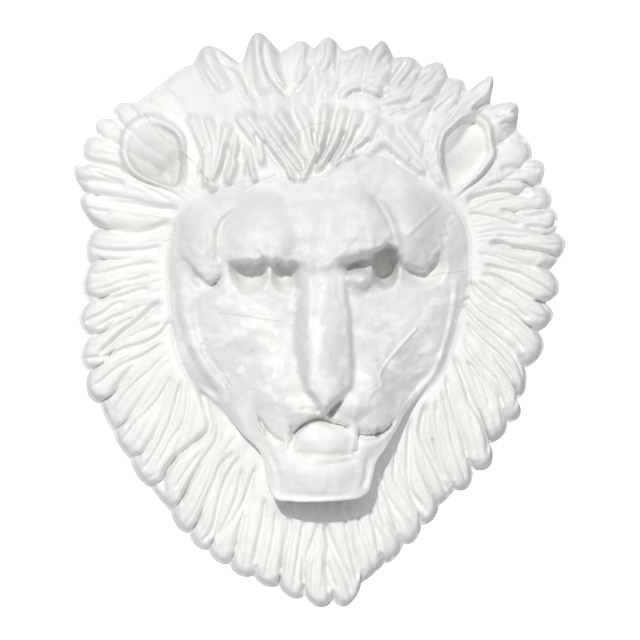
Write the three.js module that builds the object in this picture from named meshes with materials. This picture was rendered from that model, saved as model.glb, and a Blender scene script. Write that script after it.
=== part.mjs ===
// A lion's head in high relief, cast in one piece with its mane, flat at the back so that it hangs on a wall.
// Millimetres, +Z up. The flat back lies in the plane y = 0 and the face looks along -Y.
import * as THREE from "three";
import { ParametricGeometry } from "three/addons/geometries/ParametricGeometry.js";
import { mergeGeometries, mergeVertices } from "three/addons/utils/BufferGeometryUtils.js";

// Driving dimensions
const headHeight = 1000; // tip of the beard to the tallest crown spike
const noseDepth = 233; // wall to the tip of the nose
const rimThickness = 26; // edge of the mane, measured from the wall
const rimUndercut = 5; // how far the back edge of the rim stands in from its front edge
const plateLedge = 6; // how far the thin edge of the mane shows past the rounded ends of its locks
const fingerEnd = 14; // length over which the end of a lock rounds off

// How finely the faceted surface follows the carving
const columnsPerLock = 4;
const maneRows = 7; // one more row steps from the face down to the roots, and one closes the rim

// Carving is set out in hundredths of the head's height across the wall; its height over the wall
// is in steps that put the tip of the nose at noseDepth.
const hundredth = headHeight / 100;
const noseHeightDrawn = 23.3;
const depthStep = noseDepth / noseHeightDrawn;
const poleHeight = 3.4; // centre of the mane's rays, above the middle of the head

const radians = THREE.MathUtils.degToRad;
const smooth = THREE.MathUtils.smoothstep;
const clamp = THREE.MathUtils.clamp;
const mix = THREE.MathUtils.lerp;

// A smooth closed curve through [angle, value] keys, angles clockwise from the crown in degrees
function ringCurve(keys) {
  const count = keys.length;
  const key = (i) => {
    const turn = Math.floor(i / count);
    const [angle, value] = keys[i - turn * count];
    return [angle + 360 * turn, value];
  };
  return (angle) => {
    const start = keys[0][0];
    const wrapped = start + ((((angle - start) % 360) + 360) % 360);
    let i = 0;
    while (key(i + 1)[0] <= wrapped) i++;
    const [a0, v0] = key(i - 1);
    const [a1, v1] = key(i);
    const [a2, v2] = key(i + 1);
    const [a3, v3] = key(i + 2);
    const span = a2 - a1;
    const t = (wrapped - a1) / span;
    const m1 = ((v2 - v0) / (a2 - a0)) * span;
    const m2 = ((v3 - v1) / (a3 - a1)) * span;
    return (
      v1 * (1 + 2 * t) * (1 - t) ** 2 + m1 * t * (1 - t) ** 2 + v2 * t * t * (3 - 2 * t) + m2 * t * t * (t - 1)
    );
  };
}

// Value between the rows of a rising table of [place, value]
function read(table, at) {
  if (at <= table[0][0]) return table[0][1];
  const i = table.findIndex(([place]) => place >= at);
  if (i < 0) return table[table.length - 1][1];
  const [a, low] = table[i - 1];
  const [b, high] = table[i];
  return mix(low, high, (at - a) / (b - a));
}

// Where the face meets the mane, as a distance from the pole
const faceEdge = ringCurve([
  [0, 21.2], [10, 24.7], [20, 26.4], [40, 26.7], [60, 28.0], [80, 25.8], [100, 23.9], [120, 24.0], [132, 23.5],
  [142, 24.2], [152, 26.4], [159, 28.4], [162.5, 30.2], [165, 31.6], [168, 32.9], [173, 33.8], [180, 34.3],
  [188.6, 34.1], [194.5, 33.4], [197, 32.0], [199.5, 30.0], [203, 28.2], [210, 26.8], [222, 25.0], [240, 26.0],
  [270, 25.7], [290, 27.3], [300, 28.1], [320, 25.2], [340, 22.2],
]);
// Outer edge of the mane at the notches between its locks
const notches = ringCurve([
  [-29.2, 46.9], [-18.5, 43.6], [-10.2, 43.8], [-1, 44.0], [5.8, 43.7], [11.3, 44.4], [19.1, 44.2], [30, 44.8],
  [35.9, 44.7], [40.9, 45.4], [49, 45.4], [62, 43.6], [74, 42.6], [81.8, 40.3], [97.3, 38.3], [108.4, 37.5],
  [123, 38.7], [131.3, 38.6], [144.4, 40.4], [153.3, 42.0], [160.7, 44.6], [171, 49.4], [177.5, 52.0],
  [188, 50.0], [201.9, 47.9], [216.1, 44.8], [229.8, 43.0], [253.2, 41.8], [261.3, 40.4], [280.3, 40.5],
  [287.3, 40.9], [294.5, 45.0], [301, 47.8], [310.9, 47.8], [320, 46.6],
]);
// Tip of every lock: angle and distance from the pole
const lockTips = [
  [-39.8, 46.9], [-33.0, 47.0], [-23.6, 48.4], [-13.4, 47.9], [-4.3, 45.3], [1.8, 45.9], [9.5, 45.0],
  [13.5, 46.5], [20.6, 45.2], [26.9, 46.4], [32.9, 45.6], [37.3, 49.2], [44.9, 48.4], [53.6, 45.5],
  [58.8, 45.6], [65.6, 44.2], [70.3, 43.9], [77.4, 43.8],
  [87.6, 41.7], [93.7, 40.7], [102.6, 39.8], [113.7, 39.0], [119.8, 40.2], [126.3, 39.6], [134.1, 41.3],
  [141.5, 41.5], [147.2, 41.0], [153.0, 43.0], [158.3, 44.9], [163.6, 46.7], [168.6, 48.4], [174.8, 53.3],
  [180.2, 53.4], [185.5, 52.0], [190.8, 50.6], [196.5, 49.9], [201.5, 48.9], [206.8, 47.9], [211.8, 46.7],
  [218.6, 44.5], [225.6, 44.2], [234.3, 43.2], [240.8, 42.7], [248.8, 43.6], [257.1, 42.7], [265.3, 42.1],
  [273.6, 41.4], [284.0, 41.8], [291.6, 44.8], [297.5, 48.3], [304.3, 49.4], [308.8, 49.8], [313.9, 49.1],
];
// How pointed the tips are: 0.6 is a finger's end, 1.9 a thorn
const pointedness = ringCurve([
  [0, 1.4], [14, 1.3], [25, 1.0], [35, 1.5], [41, 1.9], [48, 1.3], [60, 1.0], [75, 0.8], [100, 0.7], [140, 0.6],
  [220, 0.6], [260, 0.7], [300, 0.9], [325, 1.0], [345, 1.4],
]);
// How far a lock hangs down from its root to its tip, in degrees about the pole
const lockSweep = ringCurve([
  [0, 0], [45, 0], [58, 2], [70, 6], [88, 12], [104, 14], [118, 20], [125, 18], [133, 19], [138, 17], [147, 13],
  [153, 9], [159, 2], [166, 0], [198, -1], [206, -2], [211, -4], [215, -9], [219, -14], [226, -16], [233, -13],
  [240, -11.5], [249, -10], [257, -8.5], [285, -8], [300, -6], [318, 0], [340, 0],
]);
// How late on its way a lock takes up that hang: 1 is a straight run, 2 a hook near the root
const lockBend = ringCurve([
  [0, 1.3], [88, 1.3], [135, 1.3], [143, 2.1], [155, 2.1], [170, 1.4], [205, 1.5], [213, 2.2], [230, 2.2],
  [240, 1.1], [262, 1.0], [300, 1.2],
]);
// Height of the face along its edge, and of the mane's roots beside it
const faceEdgeHeight = ringCurve([
  [0, 14.6], [25, 13.8], [45, 12.0], [60, 10.4], [95, 9.6], [125, 9.8], [138, 11.0], [150, 13.0], [158, 13.8],
  [165, 13.6], [170, 15.2], [175, 16.3], [180, 16.6], [186, 16.2], [191, 14.8], [196, 13.0], [203, 12.0],
  [212, 11.4], [225, 10.4], [240, 9.6], [270, 9.6], [292, 10.4], [310, 12.4], [335, 14.2],
]);
const rootHeight = ringCurve([
  [0, 13.8], [25, 13.2], [45, 12.0], [62, 10.2], [95, 9.4], [125, 9.2], [150, 9.4], [180, 9.4], [210, 9.4],
  [235, 9.4], [270, 9.4], [292, 10.2], [310, 12.2], [335, 14.2],
]);
// How far the roots stand out from the face's edge; under the chin they tuck in behind it
const rootShift = ringCurve([
  [0, 0.4], [40, 0.5], [60, 0.8], [125, 0.8], [142, 0.3], [152, -0.8], [165, -1.6], [172, -3.0], [180, -3.6],
  [188, -3.0], [196, -1.4], [205, -0.4], [218, 0.4], [240, 0.8], [300, 0.6], [325, 0.4],
]);
// How far a lock stands over the thin plate that shows past its end
const fingerRise = ringCurve([
  [0, 0.5], [45, 0.9], [60, 1.0], [90, 1.8], [130, 2.0], [180, 2.0], [225, 2.0], [260, 1.6], [290, 1.2],
  [320, 0.6],
]);

// Profile of the face down its middle: height in the picture, height over the wall
const spine = [
  [-32, 16.4], [-26, 17.2], [-20, 17.4], [-14, 17.2], [-9, 16.9], [-2, 16.4], [5, 16.2], [10, 16.6], [14, 17.2],
  [20, 16.8], [24, 15.9], [30, 14.6],
];
// Lower edge of the brows from left to right
const browLine = [
  [-25, 11.0], [-21.5, 9.0], [-19.3, 6.3], [-18, 7.0], [-16.4, 10.4], [-13.5, 9.7], [-9.6, 10.7], [-6, 9.8],
  [-3, 9.4], [-1.6, 8.4], [0.4, 8.8], [2, 10.0], [6, 11.4], [10, 12.2], [12, 12.8], [13.5, 10.4], [16.5, 8.6],
  [19, 9.8], [21.4, 14.0], [22.6, 18.0],
];
// Section of the nose by height: foot of its left side, both edges of its ridge, foot of its right side, rise
const noseLeft = [[-14.8, -1.4], [-12, -3.3], [-9, -3.7], [-5, -4.5], [2, -4.3], [6, -4.1], [10, -4.4], [13.8, -5.2]];
const ridgeLeft = [[-14.8, -0.2], [-12.5, -1.7], [-10, -1.6], [-6, -1.1], [0, -1.8], [8, -1.8], [13.8, -2.2]];
const ridgeRight = [[-15, 0.9], [-13, 1.2], [-10, 0.9], [-6, 0.4], [0, 0.3], [8, 0.6], [13.8, 1.2]];
const noseRight = [[-15.3, 1.2], [-13.2, 4.0], [-12, 4.9], [-9, 5.3], [-5, 5.0], [0, 4.8], [9.5, 4.1], [13.8, 5.2]];
const noseRise = [[-15.2, 5.4], [-13, 6.2], [-9, 5.6], [-4, 4.8], [2, 4.0], [6, 3.0], [10, 1.6], [14.4, 0]];
// Underside of the nose from left to right
const noseFoot = [[-4.6, -12.4], [-1.3, -13.1], [0.8, -15.3], [3.9, -13.0], [5.4, -12.2]];

// Raised and sunk oval masses: centre x, z, half-width, half-height, rise, and how flat the top is
const brows = {
  left: [-9.6, 11.0, 8.0, 12.0, 2.6, 1.6],
  right: [6.6, 12.0, 7.8, 12.0, 2.6, 1.6],
  middle: [-1.4, 14.6, 7.4, 9.0, 1.7, 1.2],
  leftTemple: [-20.6, 12.0, 4.4, 9.0, 1.7, 1.4],
  rightTemple: [17.6, 13.6, 5.2, 9.0, 2.1, 1.5],
};
const sockets = {
  left: [-12.2, 8.8, 4.5, 3.9, 6.0, 2.2],
  leftInner: [-6.1, 8.8, 3.0, 3.9, 5.8, 2.0],
  leftTemple: [-19.2, 7.4, 3.2, 3.0, 2.6, 1.6],
  right: [10.4, 9.8, 3.2, 4.3, 8.0, 1.8],
  rightInner: [5.8, 9.8, 4.2, 3.8, 5.4, 1.6],
  rightTemple: [17.2, 9.2, 5.0, 4.2, 3.4, 1.6],
};
const rightEye = [6.9, 7.2, 2.9, 2.4, 4.2, 1.3];
const faceMasses = {
  leftMuzzle: [-7.5, -12.5, 5.6, 8.5, 1.3, 1.5],
  rightMuzzle: [8.7, -12.6, 4.6, 7.6, 1.6, 1.6],
  leftCheek: [-12.8, -1.0, 8.0, 6.5, 0.6, 1.0],
  leftJawHollow: [-18.4, -12.0, 3.0, 3.2, -0.8, 1.0],
  rightJawHollow: [16.8, -9.0, 4.6, 6.2, -1.3, 1.5],
  tongue: [0.6, -20.7, 5.2, 3.3, 1.1, 1.6],
  chin: [-0.4, -26.6, 7.6, 4.8, 1.0, 2.4],
};

// Long ridges and grooves of the face: points x, z along them, half-width at both ends, rise
const faceLines = {
  leftEyePeak: { path: [[-8.7, 10.7], [-8.8, 8.3], [-8.6, 4.8]], half: [0.8, 2.0], rise: 3.2 },
  leftJawBand: { path: [[-24, 9], [-23.6, 3], [-22.2, -3], [-20.2, -7.5], [-16.6, -12.4]], half: [1.7, 1.3], rise: 0.9 },
  rightJawBand: { path: [[23.4, 8], [23, 2], [21.8, -3.5], [19.8, -9], [14.4, -15.6]], half: [1.1, 1.1], rise: 0.5 },
  leftBrowCrease: { path: [[-13.6, 19.4], [-16.4, 17], [-17.6, 14], [-17.4, 9.6]], half: [1.1, 1.1], rise: -1.0 },
  rightBrowCrease: { path: [[7, 22.4], [9.8, 20.2], [12, 16.8], [13.6, 9.6]], half: [1.1, 1.1], rise: -1.3 },
  mouthArch: {
    path: [[-4.9, -21.6], [-3.4, -18.4], [-0.3, -16.9], [1.9, -17.4], [5.2, -18.8]],
    half: [1.0, 0.9],
    rise: -2.6,
  },
  leftLip: { path: [[-11, -15.8], [-8, -20.3], [-6.3, -21]], half: [0.9, 1.1], rise: -1.8 },
  rightLip: { path: [[6.4, -19.6], [10.4, -19.4], [12.8, -17]], half: [1.1, 0.9], rise: -2.2 },
  lowerLip: { path: [[-4.6, -22.9], [6, -23]], half: [0.9, 0.9], rise: -1.0 },
};

// Tufts that fall from the crown over the forehead: points x, z from root to tip
const tuftRise = 1.7;
const tuftHalfWidth = [1.5, 1.0];
const tufts = [
  [[-19.9, 32.0], [-19.6, 26.8], [-19.8, 21.6]],
  [[-16.8, 31.4], [-18.0, 26.8], [-17.4, 22.0]],
  [[-15.2, 31.0], [-15.6, 27.0], [-16.4, 22.8]],
  [[-12.6, 34.0], [-11.6, 29.2], [-13.2, 23.8]],
  [[-12.4, 34.6], [-9.0, 29.4], [-5.4, 24.6]],
  [[-8.6, 34.6], [-5.6, 29.4], [-2.4, 24.2]],
  [[-3.4, 33.8], [-2.6, 29.4], [-1.6, 26.0]],
  [[2.2, 35.0], [0.8, 30.4], [-1.8, 26.6]],
  [[4.8, 34.8], [3.2, 29.8], [0.2, 25.4]],
  [[7.2, 34.4], [6.2, 31.2], [3.4, 28.0]],
  [[9.2, 33.4], [10.6, 30.4], [12.8, 27.4]],
  [[13.2, 31.4], [15.4, 27.0], [16.4, 24.4]],
  [[18.4, 32.2], [18.8, 27.8], [17.6, 24.2]],
];

// Cupped ears: centre x, z, half-width, half-height, lean in degrees, rise of the rim and depth of the cup
const ears = [
  { x: -27.6, z: 27.9, halfWidth: 5.9, halfHeight: 7.1, lean: 30, rise: 2.8, cup: 4.0 },
  { x: 25.6, z: 28.0, halfWidth: 5.4, halfHeight: 7.9, lean: -16, rise: 3.0, cup: 3.2 },
];

function layOutLocks() {
  const locks = lockTips.map(([tip, reach]) => ({ tip, reach, point: pointedness(tip) }));
  locks.forEach((lock, i) => {
    const last = i === locks.length - 1;
    const next = locks[(i + 1) % locks.length];
    lock.end = (lock.tip + next.tip + (last ? 360 : 0)) / 2;
    next.start = last ? lock.end - 360 : lock.end;
  });
  return locks;
}

const locks = layOutLocks();
const columns = locks.length * columnsPerLock;
const faceSteps = columns / 4;

const bell = (distance, flat) => (distance >= 1 ? 0 : (1 - distance ** (2 * flat)) ** 2);

function massAt(x, z, [middleX, middleZ, halfWidth, halfHeight, rise, flat]) {
  return rise * bell(Math.hypot((x - middleX) / halfWidth, (z - middleZ) / halfHeight), flat);
}

// Nearest point of a bent path, as the distance to it and the share of its corners passed before it
function nearest(x, z, path) {
  let best = { distance: Infinity, along: 0 };
  const last = path.length - 1;
  for (let i = 0; i < last; i++) {
    const [ax, az] = path[i];
    const [bx, bz] = path[i + 1];
    const lengthSquared = (bx - ax) ** 2 + (bz - az) ** 2;
    const share = clamp(((x - ax) * (bx - ax) + (z - az) * (bz - az)) / lengthSquared, 0, 1);
    const distance = Math.hypot(x - mix(ax, bx, share), z - mix(az, bz, share));
    if (distance < best.distance) best = { distance, along: (i + share) / last };
  }
  return best;
}

function lineAt(x, z, { path, half, rise }) {
  const { distance, along } = nearest(x, z, path);
  return rise * bell(distance / mix(half[0], half[1], along), 1);
}

function tuftsAt(x, z) {
  const risen = tufts.map((path) => {
    const { distance, along } = nearest(x, z, path);
    const fadeIn = smooth(along, 0, 0.45);
    return tuftRise * fadeIn * bell(distance / mix(tuftHalfWidth[0], tuftHalfWidth[1], along), 1.2);
  });
  return Math.max(...risen);
}

// An ear's rim stands up from the mane round a cup that runs out at the ear's root
function earAt(x, z, { x: middleX, z: middleZ, halfWidth, halfHeight, lean, rise, cup }) {
  const c = Math.cos(radians(lean));
  const s = Math.sin(radians(lean));
  const across = ((x - middleX) * c + (z - middleZ) * s) / halfWidth;
  const along = (-(x - middleX) * s + (z - middleZ) * c) / halfHeight;
  const distance = Math.hypot(across, along);
  const inside = 1 - smooth(distance, 0.9, 1.15);
  const floor = 1 - smooth(distance, 0.5, 0.85);
  return inside * smooth(along, -1.1, 0) * rise - floor * cup * smooth(along, -0.95, 0.3);
}

function polar(x, z) {
  const angle = THREE.MathUtils.radToDeg(Math.atan2(x, z - poleHeight));
  return { angle, radius: Math.hypot(x, z - poleHeight) };
}

// The nose over the face: a steep left side, a flat ridge, a gentler right side that ends in a step
function noseAt(x, z) {
  const left = read(noseLeft, z);
  const right = read(noseRight, z);
  const upLeft = clamp((x - left) / (read(ridgeLeft, z) - left), 0, 1);
  const downRight = clamp((x - read(ridgeRight, z)) / Math.max(right - read(ridgeRight, z), 0.1), 0, 1);
  const step = 1 - smooth(x, right - 0.2, right + 1.2);
  const section = (1 - (1 - upLeft) ** 1.25) * (1 - 0.5 * downRight ** 1.5) * step;
  const foot = -read(noseFoot, x);
  return read(noseRise, z) * section * (1 - smooth(-z, foot - 0.6, foot + 0.8)) * (1 - smooth(z, 9.7, 14.4));
}

// Height of the face over the wall
function faceHeight(x, z) {
  const { angle, radius } = polar(x, z);
  const outward = Math.min(1, radius / faceEdge(angle));
  const edge = faceEdgeHeight(angle);
  const squareness = mix(3, 4, smooth(-z, 4, 14));
  const shell = edge + (read(spine, z) - edge) * (1 - outward ** squareness) ** 0.95;
  const brow = read(browLine, x);
  const below = smooth(-z, -brow - 0.6, -brow + 1.2);
  const browRise = Object.values(brows).reduce((sum, mass) => sum + massAt(x, z, mass) ** 4, 0) ** 0.25;
  const socket = Math.max(...Object.values(sockets).map((mass) => massAt(x, z, mass)));
  const masses = Object.values(faceMasses).reduce((sum, mass) => sum + massAt(x, z, mass), 0);
  const lines = Object.values(faceLines).reduce((sum, line) => sum + lineAt(x, z, line), 0);
  const underChin = 1.6 * smooth(-z, 29.2, 31.4);
  const features = browRise * (1 - below) + (massAt(x, z, rightEye) - socket) * below;
  const carved = features + masses + lines + noseAt(x, z) - underChin;
  return shell + carved * (1 - smooth(outward, 0.95, 1)) + tuftsAt(x, z) * smooth(outward, 0.8, 0.9);
}

// A column of the mane, given by its number clockwise: its lock, and where it lies across that lock
function columnAt(number) {
  const wrapped = ((number % columns) + columns) % columns;
  const lock = locks[Math.floor(wrapped / columnsPerLock)];
  const half = columnsPerLock / 2;
  const step = wrapped % columnsPerLock;
  const tipAngle = step < half ? mix(lock.start, lock.tip, step / half) : mix(lock.tip, lock.end, step / half - 1);
  return { lock, across: step / columnsPerLock, tipAngle };
}

const place = (angle, radius) => [radius * Math.sin(radians(angle)), poleHeight + radius * Math.cos(radians(angle))];
const toMillimetres = (target, x, height, z) => target.set(x * hundredth, -height * depthStep, z * hundredth);

function facePlace(number) {
  const { tipAngle } = columnAt(number);
  const angle = tipAngle - lockSweep(tipAngle);
  return place(angle, faceEdge(angle));
}

// The face is a square net of points stretched to fit the first point of every column
function facePoint(u, v, target) {
  const a = Math.round(v * faceSteps);
  const b = Math.round(u * faceSteps);
  const top = facePlace(a);
  const right = facePlace(faceSteps + b);
  const bottom = facePlace(3 * faceSteps - a);
  const left = facePlace(4 * faceSteps - b);
  const corners = [0, 1, 2, 3].map((side) => facePlace(side * faceSteps));
  const [x, z] = [0, 1].map(
    (axis) =>
      mix(top[axis], bottom[axis], u) +
      mix(left[axis], right[axis], v) -
      mix(mix(corners[0][axis], corners[1][axis], v), mix(corners[3][axis], corners[2][axis], v), u),
  );
  toMillimetres(target, x, faceHeight(x, z), z);
}

// Point of the mane at a share of the way from root to tip
function maneSpot(number, share) {
  const { lock, across, tipAngle } = columnAt(number);
  const rootAngle = tipAngle - lockSweep(tipAngle);
  const angle = tipAngle - lockSweep(tipAngle) * (1 - share) ** lockBend(tipAngle);
  const arch = Math.sin(Math.PI * across) ** lock.point;
  const tipRadius = notches(tipAngle) + (lock.reach - notches(lock.tip)) * arch;
  const radius = mix(faceEdge(rootAngle) + rootShift(rootAngle), tipRadius, share);
  const [x, z] = place(angle, radius);
  const rim = rimThickness / depthStep;
  const body = rim + (rootHeight(rootAngle) - rim) * (1 - share ** 1.7);
  const inward = clamp(((tipRadius - radius) * hundredth - plateLedge) / fingerEnd, 0, 1);
  const round = (1 - Math.abs(2 * across - 1) ** 4) ** 0.6 * Math.sqrt(inward * (2 - inward));
  const finger = fingerRise(tipAngle) * round * smooth(share, 0.3, 0.9);
  const ear = ears.reduce((sum, one) => sum + earAt(x, z, one), 0);
  const tuft = tuftsAt(x, z) * smooth(z, 19, 23);
  return [x, body + finger + ear + tuft, z];
}

// How far out each row of the mane lies, from root to tip; they close up towards the tips
function maneShare(row) {
  return Math.min(1, row / maneRows) ** 0.85;
}

// From the face's edge over the step beside it, up the mane and round its rim to the back
function manePoint(u, v, target) {
  const number = Math.round(u * columns);
  const row = Math.round(v * (maneRows + 2));
  const [faceX, faceZ] = facePlace(number);
  if (row === 0) return toMillimetres(target, faceX, faceHeight(faceX, faceZ), faceZ);
  const [x, height, z] = maneSpot(number, maneShare(row - 1));
  if (row <= maneRows + 1) return toMillimetres(target, x, height, z);
  const [backX, backZ] = backPlace(number);
  return toMillimetres(target, backX, 0, backZ);
}

function backPlace(number) {
  const [x, , z] = maneSpot(number, 1);
  const { angle, radius } = polar(x, z);
  return place(angle, radius - rimUndercut / hundredth);
}

function backPlate() {
  const outline = Array.from({ length: columns }, (_, i) => {
    const [x, z] = backPlace(i);
    return new THREE.Vector2(-x * hundredth, z * hundredth);
  });
  return new THREE.ShapeGeometry(new THREE.Shape(outline)).rotateX(Math.PI / 2).rotateZ(Math.PI);
}

function bareSurface(geometry) {
  const bare = geometry.index ? geometry.toNonIndexed() : geometry;
  bare.deleteAttribute("normal");
  bare.deleteAttribute("uv");
  return bare;
}

function lionHead() {
  const skins = [
    new ParametricGeometry(facePoint, faceSteps, faceSteps),
    new ParametricGeometry(manePoint, columns, maneRows + 2),
    backPlate(),
  ];
  const geometry = mergeVertices(mergeGeometries(skins.map(bareSurface)), 0.01);
  geometry.computeVertexNormals();
  const plaster = new THREE.MeshStandardMaterial({ color: 0xeeeeea, roughness: 0.4, metalness: 0 });
  const head = new THREE.Mesh(geometry, plaster);
  head.name = "lion_head";
  return head;
}

const sculpture = new THREE.Group();
sculpture.add(lionHead());

export default sculpture;
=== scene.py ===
"""A lion's head in high relief with a ray-like mane, cast in one piece and painted white.

Places on the head are drawn in hundredths of its height, x to the right and z up from the
middle of the head; angles turn clockwise from the crown about the pole of the mane. Heights
over the wall are in steps of DEPTH_STEP.
"""

import math

import bmesh
import bpy
import numpy as np
from mathutils import Matrix, Vector


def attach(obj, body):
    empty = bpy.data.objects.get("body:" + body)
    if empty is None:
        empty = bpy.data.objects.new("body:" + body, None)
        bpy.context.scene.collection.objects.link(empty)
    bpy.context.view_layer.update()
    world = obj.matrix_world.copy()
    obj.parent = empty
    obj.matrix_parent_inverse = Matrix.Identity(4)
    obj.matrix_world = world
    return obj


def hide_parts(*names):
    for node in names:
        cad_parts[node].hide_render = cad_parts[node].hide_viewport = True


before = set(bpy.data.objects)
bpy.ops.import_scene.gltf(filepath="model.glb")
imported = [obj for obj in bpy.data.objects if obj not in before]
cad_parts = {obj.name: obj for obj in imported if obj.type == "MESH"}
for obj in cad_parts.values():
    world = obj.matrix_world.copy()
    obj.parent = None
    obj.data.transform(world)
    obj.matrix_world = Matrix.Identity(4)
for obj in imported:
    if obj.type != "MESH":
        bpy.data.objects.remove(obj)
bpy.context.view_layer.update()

# Driving sizes, in metres
HEAD_HEIGHT = 1.0
NOSE_DEPTH = 0.233
RIM_THICKNESS = 0.026
RIM_UNDERCUT = 0.005

NOSE_HEIGHT_DRAWN = 23.3
HUNDREDTH = HEAD_HEIGHT / 100
DEPTH_STEP = NOSE_DEPTH / NOSE_HEIGHT_DRAWN
POLE_HEIGHT = 3.4
SEED = 7

# Fineness of the carved mesh: two columns of the mane start from every step of the face's border
FACE_STEPS = 144
COLUMNS = 8 * FACE_STEPS
COLLAR_ROWS = 4
MANE_ROWS = 54
RIM_ROWS = 3
BACK_ROWS = 2
# Tip angle of the column that starts at the upper left corner of the face's net
FIRST_COLUMN = -43.0


# Small tools

def smooth(value, low, high):
    """0 up to low and 1 from high on, with an easy curve between them."""
    share = np.clip((value - low) / (high - low), 0, 1)
    return share * share * (3 - 2 * share)


def mix(a, b, share):
    """From a to b by a share of the way."""
    return a + (b - a) * share


def bell(distance, flat=1.0):
    """A rounded hump, 1 in the middle and 0 from distance 1 on, flatter on top as flat grows."""
    return (1 - np.clip(distance, 0, 1) ** (2 * flat)) ** 2


def ring_curve(keys):
    """A smooth closed curve through (angle, value) keys."""
    ordered = sorted((angle % 360, value) for angle, value in keys)
    around = [(a - 360, v) for a, v in ordered[-3:]] + ordered + [(a + 360, v) for a, v in ordered[:3]]
    angles, values = np.array(around).T
    slopes = np.zeros_like(values)
    slopes[1:-1] = (values[2:] - values[:-2]) / (angles[2:] - angles[:-2])

    def at(angle):
        wrapped = np.mod(angle, 360)
        i = np.searchsorted(angles, wrapped, side="right") - 1
        span = angles[i + 1] - angles[i]
        t = (wrapped - angles[i]) / span
        return (
            (1 + 2 * t) * (1 - t) ** 2 * values[i]
            + t * (1 - t) ** 2 * span * slopes[i]
            + t * t * (3 - 2 * t) * values[i + 1]
            + t * t * (t - 1) * span * slopes[i + 1]
        )

    return at


def bent_path(points, steps=8):
    """Points along a smooth curve through the drawn ones."""
    drawn = np.asarray(points, float)
    if len(drawn) == 2:
        return drawn
    padded = np.vstack([2 * drawn[0] - drawn[1], drawn, 2 * drawn[-1] - drawn[-2]])
    t = np.linspace(0, 1, steps, endpoint=False)[:, None]
    pieces = []
    for a, b, c, d in zip(padded, padded[1:], padded[2:], padded[3:]):
        cubic = (2 * a - 5 * b + 4 * c - d) * t**2 + (3 * b - a - 3 * c + d) * t**3
        pieces.append(0.5 * (2 * b + (c - a) * t + cubic))
    return np.vstack(pieces + [drawn[-1:]])


def nearest(x, z, path):
    """Distance to a path, the share of its length before the nearest point, and the side (+ right)."""
    best = np.full(x.shape, np.inf)
    along = np.zeros(x.shape)
    side = np.zeros(x.shape)
    steps = np.diff(path, axis=0)
    lengths = np.hypot(*steps.T)
    done = 0.0
    for (ax, az), (dx, dz), length in zip(path, steps, lengths):
        share = np.clip(((x - ax) * dx + (z - az) * dz) / length**2, 0, 1)
        off_x = x - ax - share * dx
        off_z = z - az - share * dz
        distance = np.hypot(off_x, off_z)
        nearer = distance < best
        best = np.where(nearer, distance, best)
        along = np.where(nearer, (done + share * length) / lengths.sum(), along)
        side = np.where(nearer, (dz * off_x - dx * off_z) / (length * distance + 1e-9), side)
        done += length
    return best, along, side


def stroke(x, z, points, start_width, end_width, rise, lean=0.0, fade=(0.0, 0.15), flat=1.1):
    """A rounded ridge (or groove, if rise is negative) drawn along a path; lean steepens its right side."""
    path = bent_path(points)
    reach = max(start_width, end_width) * (1 + abs(lean))
    near = (x > path[:, 0].min() - reach) & (x < path[:, 0].max() + reach)
    near &= (z > path[:, 1].min() - reach) & (z < path[:, 1].max() + reach)
    height = np.zeros(x.shape)
    if not near.any():
        return height
    distance, along, side = nearest(x[near], z[near], path)
    across = distance / mix(start_width, end_width, along)
    across = across / (1 - lean * side)
    ends = smooth(along, 0, fade[0]) if fade[0] else 1.0
    ends = ends * (smooth(1 - along, 0, fade[1]) if fade[1] else 1.0)
    height[near] = rise * ends * bell(across, flat)
    return height


def drawn_height(x, z, strokes, lean):
    """The highest of many strokes at each point."""
    height = np.zeros(x.shape)
    for points, start_width, end_width, rise in strokes:
        height = np.maximum(height, stroke(x, z, points, start_width, end_width, rise, lean))
    return height


def mass(x, z, middle_x, middle_z, half_width, half_height, flat=1.3):
    """An oval hump of height 1."""
    return bell(np.hypot((x - middle_x) / half_width, (z - middle_z) / half_height), flat)


def wander(x, z, cell, seed):
    """Smooth random variation between -1 and 1, about one change in every cell."""
    table = np.random.default_rng(seed).uniform(-1, 1, (64, 64))
    across, up = (0.8 * x + 0.6 * z) / cell, (0.8 * z - 0.6 * x) / cell
    i, j = np.floor(across).astype(int), np.floor(up).astype(int)
    s, t = across - i, up - j
    s, t = s * s * (3 - 2 * s), t * t * (3 - 2 * t)
    low = mix(table[i % 64, j % 64], table[(i + 1) % 64, j % 64], s)
    high = mix(table[i % 64, (j + 1) % 64], table[(i + 1) % 64, (j + 1) % 64], s)
    return mix(low, high, t)


# The head's plan: where the face ends, where the mane ends, and how its locks hang

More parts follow.
